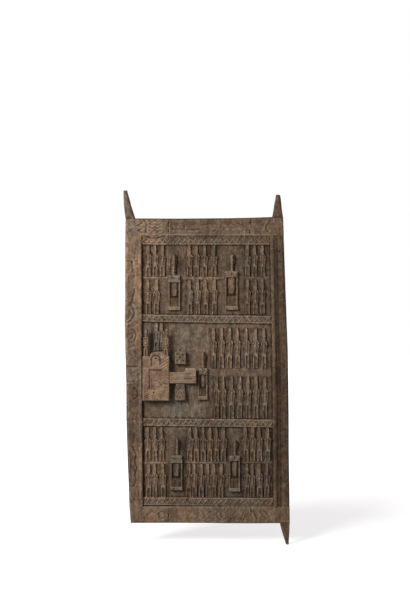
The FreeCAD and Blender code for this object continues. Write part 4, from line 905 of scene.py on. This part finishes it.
variants = [standingFigure(seed + 40) for seed in range(standing["variants"])]
for number, (name, head, foot, places) in enumerate(figureRows):
    rng = np.random.default_rng(number + 7)
    bm = bmesh.new()
    for place in places:
        known = len(bm.verts)
        bm.from_mesh(variants[rng.integers(len(variants))])
        bm.verts.ensure_lookup_table()
        stretch = (foot - head) * pixel / standing["height"]
        wide = rng.uniform(0.90, 1.08)
        turn = Matrix.Rotation(math.radians(rng.uniform(-1.2, 1.2)), 4, "Y")
        matrix = (Matrix.Translation((acrossAt(place), frontAt(door["ground"]), upAt(foot)))
                  @ turn @ Matrix.Diagonal((wide, 1.0, stretch, 1.0)))
        bmesh.ops.transform(bm, matrix=matrix, verts=bm.verts[known:])
    mesh = meshFrom(bm, name)
    carvedFinish(mesh, standing["relief"], frontAt(door["ground"]), 60 + number)
    finishPiece(mesh, name, "door_leaf", woods["figureWood"])
for mesh in variants:
    bpy.data.meshes.remove(mesh)
print("rows of ancestors carved")

# The five seated ancestors: head, shoulder plate, arms round a window, leaf-shaped torso, base.
# Widths and heights are in the photograph's pixels, depths in metres.

seated = {"arm": 1.60, "base": 3.4, "plate": 0.022, "armDepth": 0.0145, "floor": 0.0045, "behind": 0.028,
          "sunk": 0.0265, "torso": 0.0430, "voxel": 0.0015}
# For each: edges left and right, foot, plate from its foot to its top, head: top, middle and half
# width, neck: middle and half width, how far right the ridge stands, whether the hands meet under
# the chin, and the wood: how light, how brown, and how brown the head is.
seatedPlaces = {
    "ancestor_figure_upper_left": (168.2, 180.3, 310.3, 282.6, 275.2, 254.4, 173.7, 3.7, 173, 3.5, 0.25,
        False, 0.33, 0.4, 0.85),
    "ancestor_figure_upper_right": (225, 237.9, 310, 277.6, 270.8, 254.4, 232.5, 3.3, 232.1, 2.2, 0.1, True,
        0.35, 0.6, 0.95),
    "ancestor_figure_beside_bolt": (197.9, 207.7, 399.8, 375, 367.9, 352, 203.5, 3.1, 203.4, 2.6, 0, True,
        0.34, 0.6, 0.95),
    "ancestor_figure_lower_left": (170.2, 182.5, 490.4, 463.2, 455.1, 438.4, 177.5, 2.9, 177.2, 2.6, 0.15,
        False, 0.25, 0.12, 0.3),
    "ancestor_figure_lower_right": (229, 240.2, 491.6, 461.4, 455.2, 440.4, 235.4, 3, 234.9, 1.8, 0.1, True,
        0.28, 0.25, 0.35),
}


def seatedFigure(places, seed):
    left, right, foot, plateFoot, plateTop, headTop, headX, headHalf = places[:8]
    neckX, neckHalf, ridge, hands = places[8:12]
    bm = bmesh.new()
    ground = frontAt(seated["sunk"])

    def slab(x0, x1, low, high, depth, bevel=0.0016):
        verts = block(bm, (acrossAt(x0), frontAt(seated["behind"] + depth), upAt(low)),
                      (acrossAt(x1), ground, upAt(high)))
        edges = list({edge for vert in verts for edge in vert.link_edges})
        bmesh.ops.bevel(bm, geom=edges, offset=bevel, affect="EDGES", segments=2, profile=0.5, material=-1)

    arm, middle = seated["arm"], (left + right) / 2
    baseTop = foot - seated["base"]
    window = baseTop - plateFoot
    slab(left, right, foot, baseTop, seated["plate"] * 0.80)
    slab(left + 0.3, right - 0.3, baseTop + 0.6, baseTop - 0.5, seated["plate"] * 0.90)
    slab(left + 0.15, left + arm, foot - 1, plateFoot - 1, seated["armDepth"])
    slab(right - arm, right - 0.15, foot - 1, plateFoot - 1, seated["armDepth"])
    slab(left + 1, right - 1, baseTop + 1, plateFoot - 1, seated["floor"], 0.0005)
    tier = (plateFoot - plateTop) * 0.42
    if hands:  # two shoulders with a notch between them
        for x0, x1 in ((left + 0.1, headX - 0.9), (headX + 0.9, right - 0.1)):
            slab(x0, x1, plateFoot, plateTop + 0.3, seated["plate"] * 0.86, 0.0030)
        slab(left + 0.3, right - 0.3, plateFoot, plateFoot - tier, seated["plate"] * 0.80)
        slab(headX - 1.2, headX + 1.2, plateFoot - 0.2, plateTop, seated["plate"] * 0.66)
    else:
        slab(left + 0.2, right - 0.2, plateTop + tier, plateTop, seated["plate"] * 0.78)
        slab(left, right, plateFoot, plateTop + tier + 0.6, seated["plate"] * 0.92)
    for side, shoulder in ((-1, left + 2.4), (1, right - 2.4)):
        limb(bm, (acrossAt(shoulder + side), frontAt(0.046), upAt(plateTop + tier)),
             (acrossAt(headX + side * 0.6), frontAt(0.046), upAt(plateFoot - 0.6)),
             1.5 * pixel, 0.8 * pixel, 0.9)
    half = (right - left) / 2 - arm
    torso = ((window * 0.56, 0.60), (window * 0.34, 0.82), (-0.4, 0.80))
    ridged(bm, [(acrossAt(middle + 0.35), upAt(plateFoot + down), half * wide * pixel)
                for down, wide in torso], 0.3, frontAt(seated["torso"]), ground, 0.7)
    slab(middle - half * 0.96, middle + half * 0.96, baseTop, baseTop - window * 0.36, 0.0095, 0.0010)
    for side in (-1, 1):
        shin = middle + side * half * 0.5
        limb(bm, (acrossAt(shin), frontAt(0.037), upAt(baseTop)),
             (acrossAt(shin), frontAt(0.037), upAt(baseTop - window * 0.33)), 0.0034, 0.0038)
    length = plateTop - headTop
    deep = seated["behind"] + min(headHalf * 1.25, 4.0) * pixel

    def stack(x, halfWidth, sections, front):  # a bar of sections, each its height's share and its width
        ridged(bm, [(acrossAt(x), upAt(plateTop - length * share), halfWidth * wide * pixel)
                    for share, wide in sections], ridge, frontAt(front), ground, 0.5)

    stack(neckX, neckHalf, ((-0.08, 1.0), (0.20, 0.92), (0.46, 0.96)), deep - 0.003)
    for share in (0.05, 0.19, 0.33):
        stack(neckX, neckHalf, ((share - 0.045, 1.1), (share + 0.045, 1.1)), deep - 0.0012)
    stack(headX, headHalf, ((0.40, 0.80), (0.54, 1.02), (0.74, 1.0), (0.86, 0.86), (0.94, 0.62),
                            (0.99, 0.34)), deep)
    nose = acrossAt(headX + headHalf * (ridge - 0.12))
    block(bm, (nose - 0.0018, frontAt(deep + 0.0022), upAt(plateTop - length * 0.50)),
          (nose + 0.0018, frontAt(deep - 0.006), upAt(plateTop - length * 0.86)))
    mesh = voxelForm(meshFrom(bm, "form"), seated["voxel"], 2)
    carvedFinish(mesh, seated["plate"], frontAt(seated["behind"]), seed)
    return mesh


for number, (name, places) in enumerate(seatedPlaces.items()):
    mesh = seatedFigure(places, 80 + number * 3)
    co = points(mesh)
    left, right, foot, plateFoot, plateTop, headTop, headX, headHalf, _, _, ridge = places[:11]
    light, brown, headBrown = places[12:]
    p, q = pixelsOf(co)
    relief = np.clip((frontAt(seated["behind"]) - co[:, 1]) / seated["plate"], 0.0, 1.0)
    # Fronts of the relief are rubbed light; sides turned away from the front and low parts get painted
    # shade.
    facing = smoothStep(0.15, 0.95, -frontNormals(mesh))
    baseTop, middle = foot - seated["base"], (left + right) / 2
    wearAndShade = 0.04 + 0.56 * relief * (0.3 + 0.4 * facing + 0.3 * facing ** 4)
    head = smoothStep(plateTop + 0.3, plateTop - 0.3, q)
    # A painted highlight on the lit left side of the head, left of its ridge.
    wearAndShade += head * (0.40 * bell(p - headX + (0.40 - ridge) * headHalf, 0.42 * headHalf) - 0.06)
    wearAndShade += head * 0.10 * np.sin((q - plateTop) * 2.2) * (q > headTop + 0.5 * (plateTop - headTop))
    # Painted highlights along the top edges of the shoulder plate and the base.
    wearAndShade += 0.18 * bell(q - plateTop - 0.9, 0.8) + 0.22 * bell(q - baseTop - 0.2, 0.8)
    wearAndShade += 0.16 * bell(p - right + 0.8, 0.6) * (1 - head)
    window = band(p, left + seated["arm"], right - seated["arm"], 0.3) * band(q, plateFoot, baseTop, 0.3)
    share = (q - plateFoot) / (baseTop - plateFoot)
    lap = smoothStep(0.56, 0.64, share)
    wearAndShade += window * (0.20 * (1 - lap) * bell(p - middle - 0.6, 1.5) - 0.02 - 0.04 * lap)
    # Painted shade in the step between the torso and the lap; the window is also darker just under the
    # shoulder plate.
    wearAndShade += (0.10 * (1 - window) * (1 - head) - 0.40 * band(share, 0.545, 0.635, 0.03) * window
             - 0.14 * window * smoothStep(0.10, 0.0, share))
    paint(mesh, "wearAndShade", wearAndShade)
    plate = band(q, plateTop, plateFoot, 0.6)
    paint(mesh, "tone", light - 0.07 * head - 0.04 * window - 0.05 * plate)
    paint(mesh, "warmth", blend(brown + (0.25 + 0.15 * lap) * window, headBrown, head))
    print(name, len(mesh.polygons), "faces")
    finishPiece(mesh, name + ".carved", "door_leaf", woods["figureWood"], [name])
print("seated ancestors carved")

# The lock case, with its arched top, gouged signs and two standing figures for ears. Places are in
# the photograph's pixels, depths and gaps in metres.

headRise = 0.019  # how far the bolt's head stands above its bar
lock = {
    "columns": 112, "rows": 200, "edgeRound": 0.0035, "humpTop": 351.8, "humpMiddle": 156.2,
    "humpHalves": (5.9, 10.5), "shoulder": 356.2, "ribbonLeft": 162.7, "ribbonRight": 168.6,
    "signCut": 0.0036, "scratchCut": 0.0019, "holeCut": 0.0080, "tunnelGap": 0.0005, "pinGap": 0.0003,
    "pinLift": 0.0083, "tone": 0.29, "warmth": 0.30,
}
caseLow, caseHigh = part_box("lock_case")
boltLow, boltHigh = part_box("lock_bolt")
caseFront = caseLow[1]
lockSigns = [
    arc(156.1, 359.6, 4.3, 4.6, -180, 0, 12), [(151.8, 359.6), (152.1, 365.0)],
    [(160.4, 359.6), (160.3, 363.8)], [(149.8, 369.8), (149.9, 387.6)], [(149.8, 369.8), (161.6, 369.8)],
]
lockScratches = [
    [(151.9, 371.8), (152.1, 385.0)], [(144.6, 388.6), (151.5, 386.4), (158.0, 386.2), (163.4, 388.4)],
    [(144.6, 390.6), (151.0, 388.4), (157.0, 388.3), (162.6, 390.6)],
    *[[(144.6, down), (147.0, down - 1.6), (149.4, down - 0.4)] for down in (392.6, 394.5, 396.4, 398.3)],
    *[[(158.5, down), (160.4, down - 1.0), (162.4, down)] for down in (391.6, 393.5, 395.4, 397.3)],
]
lockPits = [
    (157.2, 374.2), (160.0, 375.0), (158.4, 377.4), (161.0, 379.0), (157.4, 380.6), (159.8, 382.4),
    (155.6, 383.4), (161.2, 384.6), (158.0, 385.6),
]
ribbon = [
    *[[(162.7, 359.4 + 3.1 * step), (168.5, 355.4 + 3.1 * step)] for step in range(4)],
    *[[(163.2, 372.6 + 2.9 * step), (165.8, 371.0 + 2.9 * step),
        (168.4, 372.6 + 2.9 * step)] for step in range(5)],
    *latticeLines(162.8, 386.4, 168.5, 398.0, 2.9),
]
lockHoles = [(156.1, 358.2, 0.62), (154.1, 392.2, 0.70)]


def lockCase():
    bm, u, v, w = unitBoard(lock["columns"], lock["rows"], 4, 5)
    x = caseLow[0] + 0.0003 + u * (caseHigh[0] - caseLow[0] - 0.0006)
    p = pixelAcross(x)
    middle = lock["humpMiddle"]
    away = (p - middle) / np.where(p < middle, *lock["humpHalves"])
    hump = np.sqrt(np.clip(1 - away ** 2, 0.0, 1.0)) ** 0.7
    crest = lock["shoulder"] - (lock["shoulder"] - lock["humpTop"]) * hump
    foot = pixelDown(caseLow[2]) - 0.1
    q = crest + v * (foot - crest)
    depth = np.full_like(p, backPlane - caseFront - 0.0016)
    side = np.minimum(u, 1 - u) * (caseHigh[0] - caseLow[0])
    gap = np.minimum(side, np.minimum(q - crest, foot - q) * pixel)
    depth -= 0.0030 * (1 - smoothStep(0.0, lock["edgeRound"], gap)) ** 1.5
    xm, zm = x * millimetres, upAt(q) * millimetres
    depth += 0.0006 * valueNoise(xm, zm, 18, 24, 31) + 0.0003 * valueNoise(xm, zm, 5, 9, 32)
    raised = band(p, lock["ribbonLeft"], lock["ribbonRight"], 0.6) * band(q, 355.5, 399, 1.0)
    depth += 0.0007 * raised
    depth -= 0.0009 * band(np.hypot((p - 156.1) / 4.1, (q - 361) / 5.6), -1, 0.9, 0.3)
    for line in lockSigns:
        depth -= lock["signCut"] * strokeDepth(p, q, line, 0.62)
    scratch = np.maximum(deepest(p, q, lockScratches, 0.30), deepest(p, q, ribbon, 0.52))
    for pitX, pitY in lockPits:
        scratch = np.maximum(scratch, spot(p, q, pitX, pitY, 0.62))
    depth -= lock["scratchCut"] * scratch
    wearAndShade = 0.55 + 0.15 * valueNoise(xm, zm, 26, 40, 33) + (1 - smoothStep(0.0, 0.003, gap)) * 0.25
    wearAndShade = wearAndShade - 0.55 * deepest(p, q, lockSigns, 0.66)
    wearAndShade = wearAndShade - (0.34 - 0.12 * band(q, 368.5, 386, 1)) * scratch + 0.10 * raised
    for holeX, holeY, size in lockHoles:
        depth -= lock["holeCut"] * spot(p, q, holeX, holeY, size, 4)
        wearAndShade -= 0.6 * spot(p, q, holeX, holeY, size * 1.4, 4)
    wearAndShade = np.where(w > 0.01, 0.42, wearAndShade)
    y = backPlane - blend(depth, backPlane - caseHigh[1], w)
    placePoints(bm, x, y, upAt(q), wearAndShade, lock["tone"] + 0.03 * raised,
                lock["warmth"] + 0.6 * np.maximum(raised, smoothStep(386, 390, q)))
    bmesh.ops.recalc_face_normals(bm, faces=bm.faces)
    mesh = meshFrom(bm, "lockCase")
    cutter = bmesh.new()
    gap = lock["tunnelGap"]
    bar = boltHigh[2] - headRise
    block(cutter, (caseLow[0] - 0.01, boltLow[1] - gap, boltLow[2] - gap),
          (caseHigh[0] + 0.01, boltHigh[1] + gap, bar + gap))
    mesh = cutAway(mesh, cutter)
    for name in ("tumbler_1", "tumbler_2", "tumbler_3"):
        low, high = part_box(name)
        gap = lock["pinGap"]
        cutter = bmesh.new()
        block(cutter, (low[0] - gap, low[1] - gap, bar - 0.001),
              (high[0] + gap, backPlane, high[2] + lock["pinLift"]))
        mesh = cutAway(mesh, cutter)
    return mesh


# Each bead of the body: its height's share, its width, its half height and its depth.
earShape = {"depth": 0.0095, "voxel": 0.0014,
            "beads": ((0.29, 1.02, 1.2, 1.0), (0.37, 0.74, 1.0, 0.80), (0.46, 0.94, 1.5, 1.08),
                      (0.55, 0.66, 1.0, 0.80), (0.64, 1.04, 1.3, 1.0))}


# One standing ancestor on the case's top: middle and half width of the body, the head's top, middle,
# half width and how much of it is left at the top.
def earFigure(bm, centre, body, headTop, headX, headHalf, crown):
    foot = lock["shoulder"] + 1.2
    height = foot - headTop
    middle = caseFront + 0.0125

    def at(x, share):
        return (acrossAt(x), middle, upAt(foot - height * share))

    def bar(x0, share0, half0, x1, share1, half1, flat):
        limb(bm, at(x0, share0), at(x1, share1), half0 * pixel, half1 * pixel, flat)

    for side in (-1, 1):
        out = side * body
        bar(centre + out * 0.56, -0.02, body * 0.44, centre + out * 0.54, 0.30, body * 0.48, 1.5)
        bar(centre + out * 0.84, 0.36, 0.55, centre + out * 0.86, 0.64, 0.70, 1.6)
        ball(bm, at(centre + out * 0.86, 0.64), (0.95 * pixel, earShape["depth"], 1.1 * pixel))
    for share, wide, halfHeight, deep in earShape["beads"]:
        ball(bm, at(centre, share), (body * wide * pixel, earShape["depth"] * deep, halfHeight * pixel))
    bar(centre, 0.30, body * 0.60, centre, 0.66, body * 0.60, 0.9)
    bar((centre + headX) / 2, 0.66, headHalf * 0.72, headX, 0.76, headHalf * 0.72, 1.1)
    bar(headX, 0.74, headHalf * 0.82, headX, 0.86, headHalf, 1.1)
    bar(headX, 0.86, headHalf, headX, 1.0, headHalf * crown, 1.1)
    block(bm, (acrossAt(headX) - 0.0014, middle - earShape["depth"] * 1.12, upAt(foot - height * 0.78)),
          (acrossAt(headX) + 0.0014, middle, upAt(foot - height * 0.93)))
    block(bm, (acrossAt(centre - body * 0.7), middle, upAt(foot)),
          (acrossAt(centre + body * 0.7), middle + 0.014, upAt(foot - height * 0.84)))


bm = bmesh.new()
for figure in ((146.2, 2.35, 326.6, 146.6, 1.95, 0.30), (166.2, 2.45, 328.6, 167.2, 1.55, 0.95)):
    earFigure(bm, *figure)
ears = voxelForm(meshFrom(bm, "ears"), earShape["voxel"], 1)
co = points(ears)
facing = smoothStep(0.15, 0.95, -frontNormals(ears))
relief = np.clip((caseFront + 0.020 - co[:, 1]) / 0.018, 0.0, 1.0)
# Fronts of the ears' relief are rubbed light; sides turned away from the front and low parts get painted
# shade.
paint(ears, "wearAndShade", -0.10 + 0.78 * relief * (0.40 + 0.60 * facing))
across, down = pixelsOf(co)
paint(ears, "tone", np.full(len(co), 0.28))
paint(ears, "warmth", 0.4 + 0.3 * smoothStep(155, 160, across) * smoothStep(334, 342, down))
case = lockCase()
print("lock case", len(case.polygons), "faces")
finishPiece(case, "lock_case.carved", "door_leaf", woods["lockWood"], ["lock_case"])
finishPiece(ears, "lock_case.ears", "door_leaf", woods["lockWood"], ["lock_case"])

# The sliding bolt: a bar with a stepped head, a worn upper edge, a channel for the key.

bolt = {
    "headLength": 0.0498, "bevel": 0.0018, "slant": 0.0018, "tipBack": 0.0038, "grooveLeft": 184.2,
    "grooveRight": 192.6, "grooveDown": 378.4, "grooveDeep": 0.0032, "voxel": 0.0011,
}


def slidingBolt():
    low, high = (boltLow[0] + bolt["tipBack"], *boltLow[1:]), boltHigh
    barTop = high[2] - headRise
    bm = bmesh.new()
    bmesh.ops.create_cube(bm, size=1.0)
    for vert in bm.verts:
        vert.co = [low[axis] if vert.co[axis] < 0 else (barTop if axis == 2 else high[axis])
                   for axis in range(3)]
    headLeft = high[0] - bolt["headLength"]
    bmesh.ops.bisect_plane(bm, geom=bm.verts[:] + bm.edges[:] + bm.faces[:], plane_co=(headLeft, 0, 0),
                           plane_no=(1, 0, 0))
    bm.normal_update()
    top = [face for face in bm.faces if face.normal.z > 0.9 and face.calc_center_median().x > headLeft]
    raised = bmesh.ops.extrude_face_region(bm, geom=top)["geom"]
    left = [face for face in top if face.is_valid]
    if left:
        bmesh.ops.delete(bm, geom=left, context="FACES_ONLY")
    for item in raised:
        if isinstance(item, bmesh.types.BMVert):
            item.co.z += headRise
    bmesh.ops.recalc_face_normals(bm, faces=bm.faces)
    sharp = [edge for edge in bm.edges if edge.calc_face_angle(0) > 0.5]
    bmesh.ops.bevel(bm, geom=sharp, offset=bolt["bevel"], affect="EDGES", segments=3, profile=0.5,
                    material=-1)
    mesh = meshFrom(bm, "slidingBolt")
    channel = bmesh.new()
    mouth = frame["record"]["physics"]["openings"][0]["box_m"]
    block(channel, (mouth[0][0], mouth[0][1] - 0.001, mouth[0][2] - 0.001),
          (high[0] + 0.01, mouth[1][1] + 0.001, mouth[1][2] + 0.001))
    mesh = cutAway(mesh, channel)
    line = bmesh.new()
    block(line, (acrossAt(bolt["grooveLeft"]), low[1] - 0.01, upAt(bolt["grooveDown"] + 0.35)),
          (acrossAt(bolt["grooveRight"]), low[1] + bolt["grooveDeep"], upAt(bolt["grooveDown"] - 0.35)))
    mesh = voxelForm(cutAway(mesh, line), bolt["voxel"], 1)
    co = points(mesh)
    x, z = co[:, 0] * millimetres, co[:, 2] * millimetres
    front = np.clip((low[1] + 0.004 - co[:, 1]) / 0.004, 0.0, 1.0)
    co[:, 1] += front * (0.0007 + 0.0006 * valueNoise(x, z, 60, 9, 51))
    end = np.clip((co[:, 0] - (high[0] - 0.006)) / 0.006, 0.0, 1.0)
    co[:, 0] -= end * bolt["slant"] * np.clip((co[:, 2] - low[2]) / (high[2] - low[2]), 0, 1) ** 2
    mesh.vertices.foreach_set("co", co.reshape(-1))
    inside = band(co[:, 2], upAt(bolt["grooveDown"] + 0.6), upAt(bolt["grooveDown"] - 0.6), 0.001)
    inside = inside * band(co[:, 0], acrossAt(bolt["grooveLeft"]), acrossAt(bolt["grooveRight"]), 0.001)
    # The groove's inside is painted dark: painted shade that the smoothed cut no longer casts.
    sunk = inside * (co[:, 1] > low[1] + 0.0012) * (co[:, 1] < low[1] + 0.004)
    grain = 0.14 * valueNoise(x, z, 50, 8, 52) + 0.12 * valueNoise(x, z, 90, 3.2, 53)
    edge = np.minimum(co[:, 2] - low[2], np.where(co[:, 0] > headLeft, high[2], barTop) - co[:, 2])
    paint(mesh, "wearAndShade", 0.50 + grain + 0.22 * (1 - smoothStep(0.001, 0.005, edge)) - 0.5 * sunk)
    head = smoothStep(headLeft - 0.004, headLeft + 0.004, co[:, 0])
    paint(mesh, "tone", 0.27 + 0.05 * head)
    paint(mesh, "warmth", 0.9 - 0.5 * head)
    return mesh


mesh = slidingBolt()
print("bolt", len(mesh.polygons), "faces")
finishPiece(mesh, "lock_bolt.worn", "bolt", woods["boltWood"], ["lock_bolt"])

# The two guide blocks, the upper one square with round pits, the lower one tapered with arches.

blockShape = {"columns": 48, "edgeCut": 0.0030, "edgeRound": 0.0032, "markCut": 0.0022, "markWidth": 0.42,
              "pitSize": 0.8}
blockLooks = {
    "upper_guide_block": {
        "pits": [(177.4, 354.0), (183.0, 354.4), (177.6, 360.4), (183.6, 360.6), (180.2, 357.4)],
        "lines": [[(179.8, 353.0), (180.2, 355.6)], [(181.2, 361.8), (182.4, 359.4)]],
        "rows": 60, "taper": 0.0, "tone": 0.40, "shift": 0.0075},
    "lower_guide_block": {
        "pits": [],
        "lines": [arc(180.3, 396, 4.0, 8.6, -180, 0, 10), arc(180.3, 397, 2.3, 5.2, -180, 0, 8),
                  arc(180.3, 398, 1.0, 2.4, -180, 0, 6), [(177.0, 386.0), (183.6, 386.2)],
                  [(176.8, 388.0), (183.8, 388.0)]],
        "rows": 80, "taper": 0.0060, "tone": 0.38, "shift": 0.0060},
}
for number, (name, look) in enumerate(blockLooks.items()):
    low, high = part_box(name)
    bm, u, v, w = unitBoard(blockShape["columns"], look["rows"], 4, 4)
    inset = look["taper"] * (1 - v)
    x = low[0] + inset + u * (high[0] - low[0] - 2 * inset) + look["shift"]
    z = high[2] - v * (high[2] - low[2])
    p, q = pixelAcross(x), pixelDown(z)
    depth = np.full_like(x, backPlane - low[1] - 0.0008)
    gap = np.minimum(np.minimum(u, 1 - u) * (high[0] - low[0]), np.minimum(v, 1 - v) * (high[2] - low[2]))
    depth -= blockShape["edgeCut"] * (1 - smoothStep(0.0, blockShape["edgeRound"], gap)) ** 1.4
    depth += 0.0006 * valueNoise(x * millimetres, z * millimetres, 10, 14, 71 + number)
    strokes = deepest(p, q, look["lines"], blockShape["markWidth"])
    for pitX, pitY in look["pits"]:
        strokes = np.maximum(strokes, spot(p, q, pitX, pitY, blockShape["pitSize"]) * 1.5)
    depth -= blockShape["markCut"] * strokes
    y = backPlane - blend(depth, backPlane - high[1], w)
    wearAndShade = np.where(w > 0.01, 0.40, 0.52 - 0.40 * strokes + 0.14 * (1 - smoothStep(0, 0.004, gap)))
    placePoints(bm, x, y, z, wearAndShade, look["tone"], 0.3)
    bmesh.ops.recalc_face_normals(bm, faces=bm.faces)
    finishPiece(meshFrom(bm, name), name + ".carved", "door_leaf", woods["figureWood"],
                [name])
print("lock and blocks carved")

# The solids that stay as they are get their own finish.

pegPieces = ("tumbler_1", "tumbler_2", "tumbler_3", "figure_pegs", "block_pegs")
ironPieces = ("lock_spikes", "seam_staples_left", "seam_staples_right")
for names, material in ((pegPieces, woods["pegWood"]), (ironPieces, rustedIron)):
    for name in names:
        for slot in bpy.data.objects[name].material_slots:
            slot.material = material

# The floor, the lamps and the camera.

studio = {
    "floorSize": 40.0, "floorGlow": 0.60, "glowReach": (0.9, 2.6), "glowColour": (1.0, 0.98, 1.0),
    "floorColour": (0.80, 0.785, 0.80), "bounce": 0.30, "worldLight": 0.33, "skyColour": (1.0, 0.985, 0.96),
    "keyPower": 285.0, "keySize": 2.0, "keyPlace": (-3.1, -3.9, 2.75),
    "fillPower": 5.0, "fillSize": 2.5, "fillPlace": (2.6, -3.6, 2.2),
    "cameraDistance": 5.4, "fieldHeight": 2.829, "sensorHeight": 24.0,
}


def floorFinish():  # a pale floor that glows to white with distance, and is dull to what it lights
    material, tree = emptyMaterial("paleFloor")
    distance = node(tree, "VectorMath", {0: node(tree, "TexCoord", output="Object")}, "Value",
                    operation="LENGTH")
    near, far = studio["glowReach"]
    strength = node(tree, "MapRange", {0: distance, 1: near, 2: far, 3: studio["floorGlow"], 4: 1.0})
    glow = node(tree, "Emission", {"Color": studio["glowColour"], "Strength": strength})
    lit = node(tree, "BsdfDiffuse", {"Color": studio["floorColour"]})
    dull = node(tree, "BsdfDiffuse", {"Color": (studio["bounce"],) * 3})
    seen = raysOf(tree, ("Is Camera Ray", "Is Glossy Ray"))
    shown = node(tree, "AddShader", {0: lit, 1: glow})
    node(tree, "OutputMaterial", {0: node(tree, "MixShader", {0: seen, 1: dull, 2: shown})})
    return material


bm = bmesh.new()
bmesh.ops.create_grid(bm, x_segments=1, y_segments=1, size=studio["floorSize"] / 2)
floorMesh = meshFrom(bm, "floor")
floorMesh.materials.append(floorFinish())
floor = tmpObject("floor", floorMesh)

scene = bpy.context.scene
world = bpy.data.worlds.new("studio")
scene.world = world
world.use_nodes = True
tree = world.node_tree
tree.nodes.clear()
soft = node(tree, "Background", {"Color": studio["skyColour"], "Strength": studio["worldLight"]})
white = node(tree, "Background", {"Color": (1.0, 1.0, 1.0)})
seen = raysOf(tree, ("Is Camera Ray", "Is Glossy Ray", "Is Transmission Ray"))
node(tree, "OutputWorld", {0: node(tree, "MixShader", {0: seen, 1: soft, 2: white})})

middle = Vector((acrossAt(photo["width"] / 2), 0.0, upAt(photo["height"] / 2)))
for name in ("key", "fill"):
    lampData = bpy.data.lights.new(name + "Lamp", "AREA")
    lampData.energy, lampData.size = studio[name + "Power"], studio[name + "Size"]
    lamp = tmpObject(name + "Lamp", lampData)
    lamp.location = studio[name + "Place"]
    lamp.rotation_euler = (middle - lamp.location).to_track_quat("-Z", "Y").to_euler()

cameraData = bpy.data.cameras.new("camera")
camera = tmpObject("camera", cameraData)
camera.location = (middle.x, frontAt(door["border"]) - studio["cameraDistance"], middle.z)
camera.rotation_euler = (math.radians(90), 0, 0)
cameraData.sensor_fit = "VERTICAL"
cameraData.sensor_height = studio["sensorHeight"]
cameraData.lens = studio["sensorHeight"] * studio["cameraDistance"] / studio["fieldHeight"]
scene.camera = camera
scene.view_settings.view_transform = "Standard"

print("scene ready")
